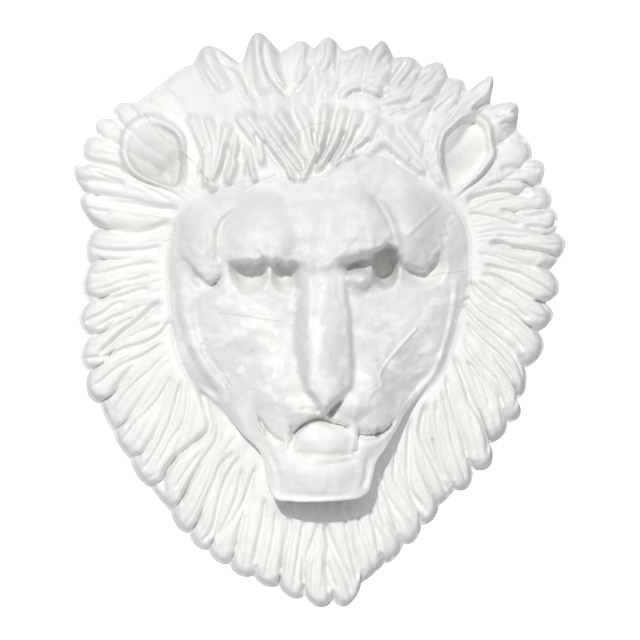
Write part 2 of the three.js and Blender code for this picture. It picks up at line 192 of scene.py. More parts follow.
# Distance from the pole to the edge of the face, and to the notches between the tips of the locks
FACE_EDGE = ring_curve([
    (0, 21.2), (10, 24.7), (20, 26.4), (40, 26.7), (60, 28.0), (80, 25.8), (100, 23.9), (120, 24.0),
    (132, 23.5), (142, 24.2), (152, 26.4), (157, 28.0), (161, 29.4), (163.5, 31.6), (165.8, 33.8),
    (168.5, 34.5), (174, 34.4), (180, 34.4), (188, 34.7), (192.5, 34.9), (195, 33.6), (197, 31.6),
    (199.5, 29.2), (203, 27.6), (210, 26.6), (222, 25.0), (240, 26.0), (270, 25.7), (290, 27.3),
    (300, 28.1), (320, 25.2), (340, 22.2),
])
NOTCHES = ring_curve([
    (341.5, 43.6), (349.8, 43.8), (359, 44.0), (5.8, 43.7), (11.3, 44.4), (19.1, 44.2), (30, 44.8),
    (35.9, 44.7), (40.9, 45.4), (49, 45.4), (62, 43.6), (74, 42.6), (81.8, 40.3), (97.3, 38.3),
    (108.4, 37.5), (123, 38.7), (131.3, 38.6), (144.4, 40.4), (153.3, 42.0), (160.7, 44.6), (171, 49.4),
    (177.5, 52.0), (188, 50.0), (201.9, 47.9), (216.1, 44.8), (229.8, 43.0), (253.2, 41.8), (261.3, 40.4),
    (280.3, 40.5), (287.3, 40.9), (294.5, 45.0), (301, 47.8), (310.9, 47.8), (320, 46.6), (330.8, 46.9),
])
# How many degrees round the pole a lock hangs on its way from root to tip
SWEEP = ring_curve([
    (0, 0), (45, 0), (58, 2), (70, 6), (88, 12), (104, 14), (118, 20), (125, 18), (133, 19), (138, 17),
    (147, 13), (153, 9), (159, 2), (166, 0), (198, -1), (206, -2), (211, -4), (215, -9), (219, -14),
    (226, -16), (233, -13), (240, -11.5), (249, -10), (257, -8.5), (285, -8), (300, -6), (318, 0), (340, 0),
])
# How early on its way a lock takes up that hang: 1 is a straight run, 2 a hook near the root
BEND = ring_curve([
    (0, 1.3), (88, 1.3), (135, 1.3), (143, 2.1), (155, 2.1), (170, 1.4), (205, 1.5), (213, 2.2), (230, 2.2),
    (240, 1.1), (262, 1.0), (300, 1.2),
])
# Heights of the edge of the face and of the mane's roots beside it
FACE_EDGE_HEIGHT = ring_curve([
    (0, 14.6), (25, 13.8), (45, 12.0), (60, 10.4), (95, 9.6), (125, 9.8), (138, 11.0), (150, 13.0),
    (158, 13.8), (165, 13.6), (170, 15.2), (175, 16.3), (180, 16.6), (186, 16.2), (191, 14.8), (196, 13.0),
    (203, 12.0), (212, 11.4), (225, 10.4), (240, 9.6), (270, 9.6), (292, 10.4), (310, 12.4), (335, 14.2),
])
ROOT_HEIGHT = ring_curve([
    (0, 13.8), (25, 13.2), (45, 12.0), (62, 10.2), (95, 9.4), (125, 9.2), (150, 8.8), (166, 8.2),
    (180, 8.0), (192, 8.2), (208, 9.2), (235, 9.4), (270, 9.4), (292, 10.2), (310, 12.2), (335, 14.2),
])
# How far outside the edge of the face the roots lie
ROOT_SHIFT = ring_curve([
    (0, 0.4), (40, 0.5), (60, 0.8), (125, 0.8), (142, 0.3), (152, -0.8), (165, -1.6), (172, -3.0),
    (180, -3.6), (188, -3.0), (196, -1.4), (205, -0.4), (218, 0.4), (240, 0.8), (300, 0.6), (325, 0.4),
])
# How far the end of a lock stands over the thin plate it lies on
FINGER_RISE = ring_curve([
    (0, 0.5), (45, 0.9), (60, 1.0), (90, 1.8), (130, 2.0), (180, 2.0), (225, 2.0), (260, 1.6), (290, 1.2),
    (320, 0.6),
])
# How strongly the fine strands between the drawn grooves show: 0 is not at all
STRAND_SHOW = ring_curve([
    (0, 0.15), (40, 0.2), (60, 0.3), (75, 0.6), (95, 1.0), (180, 1.0), (262, 1.0), (280, 0.6), (300, 0.4),
    (318, 0.0), (340, 0.1),
])

# Tips of the mane's locks: angle and distance from the pole
LOCK_TIPS = [
    (1.8, 45.9), (9.5, 45.0), (13.5, 46.5), (20.6, 45.2), (26.9, 46.4), (32.9, 45.6), (37.3, 49.2),
    (44.9, 48.4), (53.6, 45.5), (58.8, 45.6), (65.6, 44.2), (70.3, 43.9), (77.4, 43.8), (87.6, 41.7),
    (93.7, 40.7), (102.6, 39.8), (113.7, 39.0), (119.8, 40.2), (126.3, 39.6), (134.1, 41.3), (141.5, 41.5),
    (147.2, 41.0), (153.0, 43.0), (158.3, 44.9), (163.6, 46.7), (168.6, 48.4), (174.8, 53.3), (180.2, 53.4),
    (185.5, 52.0), (190.8, 50.6), (196.5, 49.9), (201.5, 48.9), (206.8, 47.9), (211.8, 46.7), (218.6, 44.5),
    (225.6, 44.2), (234.3, 43.2), (240.8, 42.7), (248.8, 43.6), (257.1, 42.7), (265.3, 42.1), (273.6, 41.4),
    (284.0, 41.8), (291.6, 44.8), (297.5, 48.3), (304.3, 49.4), (308.8, 49.8), (313.9, 49.1), (320.2, 46.9),
    (327.0, 47.0), (336.4, 48.4), (346.6, 47.9), (355.7, 45.3),
]
# How pointed the tips are round the mane: 0.6 is a finger's end, 1.9 a thorn
POINTEDNESS = ring_curve([
    (0, 1.4), (14, 1.3), (25, 1.0), (35, 1.5), (41, 1.9), (48, 1.3), (60, 1.0), (75, 0.8), (100, 0.7),
    (140, 0.6), (220, 0.6), (260, 0.7), (300, 0.9), (325, 1.0), (345, 1.4),
])

# The ends of the locks stop short of the plate's edge by the ledge and round off over the end's length
PLATE_LEDGE = 0.6
FINGER_END = 1.4

# Hair drawn stroke by stroke, from root to tip or tip to root: path, half-widths at its ends, rise
CROWN_STROKES = [
    ([(-20.1, 47.4), (-18.7, 42.7), (-15.9, 38.9)], 1.9, 1.7, 1.2),
    ([(-17.8, 47.4), (-14.9, 43.0), (-11.4, 37.1)], 1.9, 1.7, 1.4),
    ([(-11.2, 49.7), (-10.7, 45.1), (-9.7, 38.5)], 1.2, 2.8, 1.5),
    ([(-9.0, 46.5), (-7.9, 43.4), (-6.2, 39.6)], 1.2, 1.4, 0.8),
    ([(-6.2, 46.0), (-6.9, 43.4), (-6.2, 40.3)], 1.1, 1.2, 0.6),
    ([(-3.7, 48.6), (-3.2, 45.1), (-3.9, 40.6)], 1.4, 1.4, 1.1),
    ([(-1.0, 46.9), (-1.5, 44.1), (-2.5, 38.5)], 1.1, 1.7, 0.9),
    ([(1.7, 49.1), (1.1, 45.5), (-0.6, 41.7)], 1.2, 1.4, 1.1),
    ([(4.4, 47.4), (3.7, 44.8), (2.3, 42.3)], 1.1, 1.2, 0.8),
    ([(7.2, 47.6), (6.3, 44.8), (4.6, 42.0)], 1.1, 1.4, 0.9),
    ([(10.9, 48.4), (9.0, 45.5), (6.3, 41.7)], 1.4, 1.7, 1.2),
    ([(14.0, 45.8), (11.7, 43.0), (9.5, 41.0)], 1.2, 1.2, 1.0),
    ([(15.9, 45.7), (13.8, 42.2), (11.0, 38.9)], 1.2, 1.4, 1.1),
    ([(17.7, 45.1), (15.4, 41.3), (12.6, 38.2)], 1.2, 1.2, 1.0),
    ([(19.9, 44.6), (17.3, 41.0), (14.3, 38.2)], 1.2, 1.2, 1.0),
    ([(22.2, 43.7), (19.6, 40.6), (15.7, 37.5)], 1.2, 1.4, 1.0),
    ([(24.8, 41.3), (22.0, 39.0), (18.2, 36.8)], 1.2, 1.4, 1.0),
    ([(30.0, 42.3), (29.0, 39.6), (26.2, 37.1), (23.0, 35.0)], 1.2, 2.0, 1.8),
    ([(34.3, 37.8), (32.6, 35.6), (30.3, 34.0)], 1.4, 2.0, 1.6),
    ([(9.8, 39.9), (6.3, 40.4), (2.5, 38.5)], 1.4, 1.1, 1.2),
    ([(11.6, 41.0), (8.1, 41.7), (5.3, 41.0)], 1.1, 1.1, 0.8),
    ([(18.2, 39.0), (14.3, 38.9), (10.2, 37.1)], 1.2, 1.1, 1.0),
    ([(23.0, 39.0), (18.2, 37.1), (13.0, 34.3)], 1.4, 1.2, 1.0),
    ([(13.7, 36.4), (10.5, 36.1), (7.4, 35.0)], 1.2, 1.1, 0.7),
    ([(-2.3, 43.0), (-2.0, 40.6), (-3.4, 37.5)], 1.9, 1.4, 0.9),
    ([(0.4, 41.0), (-1.3, 38.5), (-4.8, 36.8)], 1.2, 1.2, 0.8),
    ([(3.2, 41.7), (1.8, 39.9), (-0.3, 38.5)], 1.2, 1.2, 0.7),
]
FRINGE_STROKES = [
    ([(-22.2, 34.3), (-19.9, 28.6), (-19.9, 22.2)], 1.5, 0.9, 1.5),
    ([(-19.4, 34.0), (-18.3, 29.5), (-19.2, 22.9)], 1.2, 0.9, 1.4),
    ([(-16.3, 32.6), (-17.3, 28.1), (-18.9, 21.5)], 1.5, 0.9, 1.9),
    ([(-14.3, 30.9), (-15.0, 26.7), (-16.3, 22.9)], 1.2, 0.9, 1.5),
    ([(-13.8, 34.3), (-11.0, 30.2), (-10.0, 26.0)], 1.2, 0.9, 1.5),
    ([(-12.8, 29.1), (-11.9, 26.0), (-11.0, 23.2)], 1.1, 0.6, 1.2),
    ([(-12.4, 34.7), (-7.6, 28.4), (-3.9, 23.2)], 1.5, 0.9, 2.0),
    ([(-10.0, 34.0), (-6.2, 29.1), (-2.5, 24.3)], 1.5, 0.9, 2.0),
    ([(-6.9, 35.0), (-4.1, 30.9), (-1.8, 27.0)], 1.5, 0.9, 1.6),
    ([(-3.7, 36.1), (-2.0, 32.3), (-1.3, 28.4)], 1.5, 1.1, 1.4),
    ([(0.8, 36.1), (-0.3, 30.5), (-3.7, 23.2)], 1.5, 0.9, 2.1),
    ([(3.6, 35.4), (2.2, 30.5), (-1.1, 25.0)], 1.5, 0.9, 2.0),
    ([(6.0, 35.0), (4.6, 30.9), (1.5, 26.3)], 1.5, 0.9, 1.9),
    ([(9.1, 34.0), (7.0, 30.5), (3.9, 27.7)], 1.8, 0.9, 1.6),
    ([(11.2, 32.6), (9.8, 30.2), (7.4, 28.4)], 1.5, 0.9, 1.1),
    ([(10.5, 31.9), (14.3, 28.1), (18.2, 24.6)], 1.8, 1.1, 1.2),
    ([(14.0, 33.3), (17.5, 28.4), (21.3, 22.2)], 1.5, 1.1, 1.1),
    ([(19.2, 32.6), (18.9, 28.4), (20.6, 23.6)], 1.2, 1.1, 1.0),
]
# By this share a stroke is narrower on the right of its run, and wider on the left
HAIR_LEAN = 0.3

# Grooves drawn between the strands, by the part of the mane they lie in: half-width, depth, path
LEFT_GROOVES = [
    (0.4, 0.9, [(-27.2, 35.8), (-28.5, 37.3), (-30.4, 38.8)]),
    (0.4, 0.7, [(-28.3, 36.0), (-29.5, 37.5)]),
    (0.7, 1.2, [(-30.0, 34.8), (-31.5, 36.5), (-32.6, 38.0)]),
    (0.6, 0.9, [(-31.4, 34.0), (-33.1, 36.2), (-34.0, 37.3)]),
    (0.8, 1.3, [(-33.0, 32.7), (-34.5, 33.5), (-35.2, 35.0), (-35.6, 36.3)]),
    (0.6, 0.8, [(-34.0, 32.0), (-35.5, 33.0), (-36.8, 33.9)]),
    (0.8, 1.3, [(-34.0, 30.1), (-36.5, 30.2), (-38.0, 31.5), (-39.3, 33.4)]),
    (0.5, 0.6, [(-33.8, 28.4), (-37.0, 28.7), (-40.0, 29.0)]),
    (1.1, 1.9, [(-42.0, 26.5), (-40.0, 27.3), (-38.0, 27.1), (-36.0, 26.6), (-33.8, 25.8)]),
    (0.5, 0.7, [(-39.0, 25.6), (-36.0, 24.3), (-34.2, 24.2)]),
    (1.2, 1.2, [(-42.0, 24.0), (-40.5, 24.2), (-38.0, 24.0), (-35.0, 23.5), (-33.5, 23.2)]),
    (1.3, 1.9, [(-41.0, 20.8), (-39.0, 21.0), (-35.5, 20.4), (-31.0, 19.7), (-27.0, 19.0), (-24.0, 19.2)]),
    (0.5, 0.7, [(-40.5, 19.6), (-38.5, 18.9), (-36.5, 18.8)]),
    (1.3, 2.1, [(-40.0, 17.0), (-38.0, 16.0), (-35.0, 15.2), (-31.0, 15.0), (-28.0, 15.7), (-25.5, 17.1)]),
    (0.9, 1.0, [(-40.2, 13.1), (-38.5, 12.2), (-34.5, 11.8), (-30.0, 12.0), (-27.0, 12.8)]),
    (0.7, 0.9, [(-40.5, 8.6), (-38.5, 7.9), (-35.5, 8.6), (-31.0, 9.5), (-28.0, 9.8)]),
    (0.6, 0.8, [(-33.5, 6.6), (-31.0, 7.2), (-29.5, 7.6)]),
    (0.8, 1.1, [(-41.0, 4.2), (-38.0, 3.9), (-36.0, 3.7), (-34.0, 4.1), (-31.5, 5.0), (-29.0, 5.5)]),
    (0.8, 1.1, [(-41.0, -0.6), (-39.5, 0.2), (-37.3, 1.2), (-35.5, 2.6), (-33.5, 3.2)]),
    (0.5, 0.8, [(-39.0, -1.4), (-36.0, 0.3), (-33.0, 1.2), (-31.0, 2.6)]),
    (0.5, 0.9, [(-40.0, -3.4), (-37.0, -1.8), (-34.5, -0.7), (-32.0, 0.6)]),
    (1.0, 2.2, [(-38.8, -6.5), (-37.0, -4.8), (-35.3, -3.3), (-33.5, -1.8), (-31.0, 0.0), (-29.3, 1.7),
                (-27.0, 3.2)]),
    (0.8, 1.4, [(-41.5, -6.8), (-38.0, -6.4), (-34.0, -5.2), (-30.0, -4.0), (-27.5, -2.5), (-26.2, -0.8),
                (-26.0, 0.8)]),
    (0.6, 1.0, [(-40.0, -12.0), (-37.0, -10.0), (-34.0, -7.7), (-30.0, -6.0), (-27.0, -3.8)]),
    (0.5, 0.9, [(-36.2, -17.5), (-35.0, -14.5), (-32.0, -11.0), (-29.0, -8.5), (-27.2, -6.2)]),
    (0.6, 1.1, [(-34.5, -21.5), (-32.0, -18.0), (-28.5, -14.5), (-26.5, -11.5), (-25.4, -9.0)]),
    (0.7, 1.2, [(-31.0, -26.5), (-28.5, -23.0), (-26.0, -18.0), (-24.6, -13.5), (-23.8, -10.0)]),
    (0.5, 0.8, [(-28.5, -26.0), (-25.8, -21.0), (-23.5, -17.5), (-22.8, -13.5), (-23.0, -10.6)]),
    (1.0, 2.3, [(-27.0, -31.0), (-27.0, -27.0), (-25.5, -24.5), (-22.0, -21.5), (-19.3, -19.2),
                (-19.2, -16.7), (-20.5, -12.5), (-22.0, -9.8)]),
    (0.7, 1.2, [(-24.5, -32.5), (-22.5, -28.0), (-20.0, -24.0), (-17.7, -20.5), (-17.6, -16.5),
                (-18.4, -14.0)]),
    (0.5, 0.8, [(-25.3, -29.5), (-22.5, -25.3), (-20.5, -22.7)]),
    (0.8, 1.4, [(-22.5, -37.0), (-20.0, -33.0), (-18.2, -28.5), (-17.2, -25.5), (-14.6, -22.5)]),
    (0.7, 1.3, [(-21.0, -39.0), (-18.8, -36.5), (-17.6, -32.0), (-16.4, -28.0), (-14.5, -24.6),
                (-13.5, -23.4)]),
    (0.7, 1.2, [(-18.0, -38.0), (-15.0, -34.5), (-13.0, -31.0), (-11.8, -27.5), (-10.8, -24.8)]),
]
RIGHT_GROOVES = [
    (0.5, 1.2, [(24.2, 38.5), (24.6, 40.0), (25.1, 41.5)]),
    (0.8, 1.7, [(26.2, 36.0), (28.0, 37.4), (29.6, 38.6), (30.4, 40.5), (30.6, 42.0)]),
    (0.8, 1.4, [(30.5, 35.1), (31.5, 35.7), (33.0, 35.8), (34.4, 36.6)]),
    (0.4, 0.6, [(31.0, 35.7), (32.5, 36.9), (34.2, 37.6)]),
    (0.6, 0.9, [(31.0, 33.8), (32.5, 34.2), (33.5, 34.0)]),
    (1.0, 1.2, [(30.6, 31.0), (32.0, 30.9), (34.0, 31.2), (35.8, 31.0)]),
    (0.6, 0.8, [(35.8, 28.0), (37.4, 28.2), (38.6, 27.8)]),
    (1.0, 1.2, [(31.0, 25.8), (33.0, 26.3), (36.0, 26.2), (38.5, 26.0)]),
    (0.6, 1.3, [(28.6, 22.8), (31.0, 23.8), (34.0, 24.0), (35.5, 23.8), (37.5, 23.1), (39.0, 23.5)]),
    (1.1, 2.0, [(25.0, 20.1), (27.0, 21.0), (29.5, 21.7), (31.5, 22.0), (34.0, 21.8), (37.0, 21.6)]),
    (0.5, 0.8, [(28.0, 20.4), (31.0, 20.5), (35.0, 21.0), (38.5, 20.9)]),
    (0.7, 1.3, [(31.0, 19.0), (33.5, 18.6), (36.0, 17.8), (38.0, 18.3), (40.2, 18.4)]),
    (0.6, 1.0, [(25.5, 18.4), (29.5, 17.7), (31.5, 17.2), (33.5, 16.5), (35.0, 16.6)]),
    (0.6, 1.2, [(35.5, 16.2), (37.5, 16.1), (39.5, 15.9), (40.8, 16.8), (41.0, 18.0)]),
    (0.5, 0.6, [(30.5, 14.5), (34.0, 14.3), (36.5, 14.2)]),
    (0.9, 2.0, [(29.0, 13.0), (31.0, 13.2), (33.0, 12.5), (35.0, 12.2), (38.0, 11.9), (40.0, 11.3),
                (42.2, 11.0)]),
    (0.6, 0.9, [(27.0, 11.5), (30.0, 10.8), (32.0, 10.0), (34.0, 9.6), (36.0, 9.0), (38.0, 8.4),
                (40.3, 8.0)]),
    (0.8, 1.6, [(28.0, 9.5), (30.0, 9.0), (32.0, 8.5), (34.0, 8.0), (36.0, 7.0), (38.0, 6.0), (39.5, 5.0),
                (41.0, 3.8)]),
    (0.7, 1.4, [(27.5, 7.8), (30.0, 7.5), (32.0, 6.5), (34.0, 5.3), (36.0, 4.2), (38.0, 3.2), (40.0, 1.0)]),
    (0.6, 1.1, [(27.3, 6.8), (29.0, 5.5), (31.0, 3.7), (33.0, 2.8), (34.5, 1.5), (36.4, 0.0)]),
    (0.9, 1.8, [(25.9, 7.0), (27.0, 5.3), (29.0, 3.5), (31.0, 2.3), (33.0, 1.0), (35.0, -0.5), (37.5, -2.0)]),
    (0.6, 1.1, [(25.2, 4.9), (26.0, 2.8), (28.0, 1.0), (30.0, -0.2), (32.0, -1.7), (34.0, -3.4),
                (35.6, -6.0)]),
    (0.6, 1.2, [(25.0, 3.0), (26.0, 1.0), (28.0, -0.9), (30.0, -2.6), (32.0, -4.6), (34.0, -7.0),
                (35.4, -11.0)]),
    (0.6, 1.2, [(24.9, 0.0), (27.0, -2.6), (29.5, -4.8), (32.0, -7.2), (33.8, -10.2), (34.2, -13.0),
                (33.5, -16.0)]),
    (0.6, 1.1, [(24.6, -2.6), (26.0, -5.5), (28.0, -8.0), (30.5, -10.5), (31.2, -14.0), (32.0, -19.0)]),
    (0.5, 0.9, [(25.2, -7.0), (27.6, -10.0), (28.8, -12.4), (29.5, -15.5)]),
    (0.8, 1.5, [(22.8, -5.6), (24.5, -9.5), (26.0, -14.0), (28.0, -17.5), (29.0, -21.0), (29.0, -24.0)]),
    (0.6, 1.1, [(21.7, -9.0), (22.2, -12.5), (23.3, -16.5), (24.7, -20.5), (25.9, -24.5), (27.5, -27.2)]),
    (0.6, 1.1, [(20.8, -11.8), (21.8, -15.0), (22.5, -18.5), (23.1, -21.5), (24.2, -24.5), (25.6, -28.5)]),
    (0.5, 0.9, [(20.0, -13.6), (20.3, -18.5), (21.3, -21.7), (23.0, -26.0), (23.6, -29.0)]),
    (0.9, 1.7, [(18.6, -14.0), (17.6, -17.5), (17.5, -20.0), (18.8, -22.9), (20.8, -27.0), (22.3, -31.0)]),
    (0.5, 0.9, [(19.2, -20.0), (20.3, -22.6), (21.6, -26.0), (22.8, -28.8)]),
    (0.8, 1.5, [(15.8, -16.6), (15.4, -20.5), (15.3, -26.5), (15.9, -30.0), (17.5, -32.0), (19.0, -34.5)]),
    (0.6, 1.0, [(13.2, -21.3), (13.0, -24.0), (13.0, -27.0), (14.6, -30.2), (16.8, -33.0), (18.0, -35.6)]),
    (0.7, 1.2, [(10.6, -25.0), (10.8, -28.5), (12.0, -31.2), (14.0, -33.8), (16.0, -36.0), (17.0, -38.0)]),
]
LOW_GROOVES = [
    (0.7, 1.2, [(-13.4, -25.2), (-14.2, -30.0), (-16.0, -34.5), (-18.5, -38.5)]),
    (0.6, 1.1, [(-11.4, -27.0), (-12.4, -31.5), (-13.9, -36.0), (-15.0, -41.0), (-15.8, -43.0)]),
    (0.7, 1.3, [(-9.6, -30.5), (-9.7, -34.0), (-11.0, -39.6), (-11.9, -43.6)]),
    (0.5, 0.9, [(-7.6, -32.6), (-7.8, -36.5), (-8.8, -41.0), (-9.5, -45.0)]),
    (0.7, 1.3, [(-5.4, -33.4), (-5.3, -36.0), (-6.0, -39.5), (-6.6, -43.0), (-7.2, -46.5)]),
    (0.6, 1.0, [(-2.6, -34.0), (-3.6, -40.0), (-4.8, -47.8)]),
    (0.7, 1.3, [(-0.2, -34.4), (-0.7, -37.0), (-2.0, -40.4), (-2.8, -44.5), (-3.0, -48.6)]),
    (0.5, 0.8, [(-0.8, -41.0), (-1.3, -44.0), (-1.2, -49.3)]),
    (1.0, 2.0, [(0.6, -34.6), (2.0, -38.8), (3.5, -42.0), (4.8, -45.0), (5.8, -48.8)]),
    (0.6, 1.2, [(0.9, -41.5), (1.3, -45.0), (1.6, -50.0)]),
    (0.6, 1.1, [(4.2, -33.8), (5.3, -40.0), (6.8, -45.9)]),
    (0.6, 1.1, [(6.4, -33.0), (7.2, -36.5), (8.6, -40.0), (9.5, -44.0)]),
    (0.6, 1.1, [(8.4, -32.0), (9.4, -35.5), (11.3, -38.5), (12.8, -41.6)]),
    (0.5, 0.9, [(9.6, -29.6), (11.0, -34.5), (13.0, -37.0), (14.4, -40.4)]),
]
CROWN_GROOVES = [
    (0.5, 0.9, [(-20.3, 45.0), (-18.6, 42.2), (-17.2, 40.2)]),
    (1.0, 1.6, [(-18.4, 47.0), (-16.6, 44.6), (-14.0, 43.2), (-12.6, 41.0), (-12.3, 38.0)]),
    (0.9, 1.6, [(-10.0, 48.6), (-9.7, 45.5), (-9.0, 43.0), (-8.0, 41.4), (-6.6, 39.8), (-5.3, 38.2)]),
    (0.5, 1.0, [(-3.8, 48.4), (-3.5, 46.0), (-4.4, 43.8)]),
    (0.5, 1.0, [(-1.8, 47.6), (-2.2, 46.0), (-2.6, 44.3)]),
    (0.7, 1.4, [(-5.0, 38.2), (-4.0, 39.5), (-2.5, 41.3), (-1.6, 43.5), (-0.2, 44.2)]),
    (0.5, 1.0, [(0.5, 48.8), (0.6, 46.5), (0.4, 44.6)]),
    (0.5, 1.2, [(2.9, 48.6), (3.0, 46.0), (2.7, 42.6)]),
    (0.5, 1.0, [(0.3, 42.7), (1.4, 43.4), (2.0, 44.7)]),
    (0.6, 1.0, [(3.2, 45.0), (5.2, 45.4), (7.6, 46.9)]),
    (0.5, 1.0, [(8.7, 47.2), (8.5, 44.5), (8.2, 41.6)]),
    (0.5, 0.9, [(10.2, 44.6), (11.5, 46.0), (12.8, 46.6)]),
    (0.9, 1.6, [(11.8, 40.2), (13.0, 42.0), (14.4, 44.0), (15.2, 45.2)]),
    (0.8, 1.4, [(13.6, 40.2), (15.2, 41.8), (17.0, 44.0), (18.4, 45.0)]),
    (0.7, 1.3, [(16.4, 42.0), (18.5, 42.9), (20.8, 44.4)]),
    (0.5, 0.9, [(17.6, 40.8), (20.0, 41.6), (22.4, 43.6)]),
    (0.9, 1.6, [(4.8, 37.5), (5.2, 38.9), (7.0, 39.4), (9.0, 38.5), (11.2, 38.6), (12.2, 40.0)]),
    (0.4, 0.8, [(7.7, 39.2), (7.9, 40.8)]),
    (1.2, 1.3, [(9.8, 36.2), (12.0, 36.6), (15.0, 37.2), (17.5, 38.5)]),
    (0.4, 0.9, [(12.0, 35.3), (14.0, 36.2), (16.0, 36.5), (18.0, 37.8), (20.6, 38.5)]),
    (0.5, 0.9, [(19.4, 35.8), (21.6, 37.6), (23.6, 39.4)]),
    (0.5, 0.8, [(21.6, 35.6), (23.2, 37.0), (24.4, 38.6)]),
]
FRINGE_GAPS = [
    (0.9, 1.8, [(-16.0, 30.4), (-16.1, 28.0), (-17.2, 25.0), (-18.6, 22.8)]),
    (0.7, 1.2, [(-19.6, 30.0), (-20.4, 26.4), (-20.6, 23.6)]),
    (1.0, 1.6, [(-14.0, 31.8), (-13.6, 29.4), (-14.4, 27.0)]),
    (0.6, 1.5, [(-12.9, 30.2), (-12.5, 27.0), (-12.7, 24.0)]),
    (0.8, 1.4, [(-11.2, 32.0), (-10.6, 29.4), (-10.4, 27.4)]),
    (0.9, 1.8, [(-9.8, 31.0), (-8.2, 28.6), (-6.6, 26.6), (-5.6, 25.0)]),
    (0.6, 1.3, [(-6.6, 32.4), (-5.2, 29.8), (-3.4, 27.6), (-2.4, 25.4)]),
    (0.9, 1.6, [(-3.4, 31.6), (-3.0, 29.6), (-2.2, 28.4)]),
    (0.7, 1.6, [(-1.2, 32.6), (-0.9, 30.6), (-0.3, 28.6)]),
    (0.8, 1.4, [(1.6, 33.0), (1.2, 30.4), (0.2, 28.2), (-1.2, 26.4)]),
    (0.9, 1.5, [(4.4, 32.6), (3.8, 30.6), (2.8, 28.6), (1.2, 26.6)]),
    (0.7, 1.2, [(6.6, 33.4), (5.9, 31.4), (5.0, 29.8)]),
    (0.9, 1.6, [(8.6, 31.0), (7.0, 29.6), (5.4, 28.8)]),
    (0.6, 1.1, [(9.0, 30.4), (11.4, 29.0), (13.8, 26.8)]),
    (0.5, 0.9, [(15.2, 27.8), (16.2, 26.0), (17.4, 24.4)]),
    (0.5, 0.9, [(18.2, 31.0), (17.8, 28.0), (18.8, 25.0)]),
]
GROOVES = LEFT_GROOVES + RIGHT_GROOVES + LOW_GROOVES + CROWN_GROOVES + FRINGE_GAPS


# The mane

# Height of the fine strands, how far they drift across their lock, and the share that drawn grooves keep
# of their depth
STRAND_DEPTH = 0.62
STRAND_DRIFT = 0.22
GROOVE_DEPTH_KEPT = 0.85
# The strands fade beside a drawn groove over this width
GROOVE_CLEARANCE = 1.2
# The carving of the mane never goes below this height
LEAST_HEIGHT = 1.2


class Mane:
    """The locks of the mane, with what varies from one to the next."""

    def __init__(self):
        chance = np.random.default_rng(SEED)
        tips = np.array(sorted(LOCK_TIPS))
        self.tip_angle, self.tip_radius = tips.T
        following = np.append(self.tip_angle[1:], self.tip_angle[0] + 360)
        self.end = (self.tip_angle + following) / 2
        self.start = np.append(self.end[-1] - 360, self.end[:-1])
        width = self.end - self.start
        self.strands = np.where(width > 8.5, 4, np.where(width > 5.6, 3, 2))
        self.lift = chance.uniform(-0.3, 0.4, len(tips))
        self.phase = chance.uniform(0, 1, len(tips))
        self.pointedness = POINTEDNESS(self.tip_angle)

    def lock_at(self, angle):
        """The lock at a tip angle, and the place across it from 0 to 1 with the tip at a half."""
        wrapped = np.mod(angle - self.start[0], 360) + self.start[0]
        i = np.clip(np.searchsorted(self.start, wrapped, side="right") - 1, 0, len(self.start) - 1)
        tip = self.tip_angle[i]
        before = 0.5 * (wrapped - self.start[i]) / (tip - self.start[i])
        after = 0.5 + 0.5 * (wrapped - tip) / (self.end[i] - tip)
        return i, np.where(wrapped < tip, before, after)

    def outline(self, angle):
        i, across = self.lock_at(angle)
        arch = np.clip(np.sin(np.pi * across), 0, 1) ** self.pointedness[i]
        return NOTCHES(angle) + (self.tip_radius[i] - NOTCHES(self.tip_angle[i])) * arch

    def finger(self, tip_angle, share, radius):
        """How far the rounded end of a lock stands over the plate it lies on."""
        i, across = self.lock_at(tip_angle)
        inward = (self.outline(tip_angle) - PLATE_LEDGE - radius) / FINGER_END
        rounded_end = np.sqrt(np.clip(inward * (2 - inward), 0, 1) + (inward > 1))
        rounded_sides = (1 - np.abs(2 * across - 1) ** 4) ** 0.6
        rise = (FINGER_RISE(tip_angle) + self.lift[i]) * smooth(share, 0.3, 0.9)
        return np.minimum(rounded_sides * rounded_end, 1) * rise

    def fine_strands(self, tip_angle, share):
        """The strands within a lock, which fork on their way to its tip."""
        i, across = self.lock_at(tip_angle)
        drift = STRAND_DRIFT * np.sin(2 * np.pi * (1.1 * share + self.phase[i])) * np.sin(np.pi * across)
        few = np.abs(np.sin(np.pi * (across * (self.strands[i] - 1) + drift)))
        many = np.abs(np.sin(np.pi * (across * self.strands[i] + drift)))
        forked = smooth(share + 0.2 * wander(tip_angle, share * 9, 5, 3), 0.35, 0.5)
        depth = STRAND_DEPTH * (1 + 0.5 * wander(tip_angle, share * 12, 4, 5)) * STRAND_SHOW(tip_angle)
        return depth * (mix(few, many, forked) ** 0.7 - 0.7)

    def height(self, tip_angle, share, radius, drawn, covered):
        """Height of the mane over the wall, at a share of the way from root to tip."""
        rim = RIM_THICKNESS / DEPTH_STEP
        root = ROOT_HEIGHT(tip_angle - SWEEP(tip_angle))
        body = rim + (root - rim) * (1 - share**1.7)
        shown = smooth(share, 0.02, 0.15) * mix(1, 0.4, smooth(share, 0.88, 0.99)) * (1 - 0.8 * drawn)
        carving = self.finger(tip_angle, share, radius) + shown * self.fine_strands(tip_angle, share)
        return body + carving * (1 - covered)


def groove_depth(x, z, grooves):
    """How deep the grooves are drawn at each point, and how near a drawn groove is, from 0 to 1."""
    depth = np.zeros(x.shape)
    near = np.zeros(x.shape)
    for half_width, deepest, path in grooves:
        cut = stroke(x, z, path, half_width, half_width, deepest, fade=(0.12, 0.12), flat=0.7)
        reach = half_width + GROOVE_CLEARANCE
        beside = stroke(x, z, path, reach, reach, 1.0, fade=(0, 0), flat=1.5)
        depth = np.maximum(depth, cut)
        near = np.maximum(near, beside)
    return depth, near


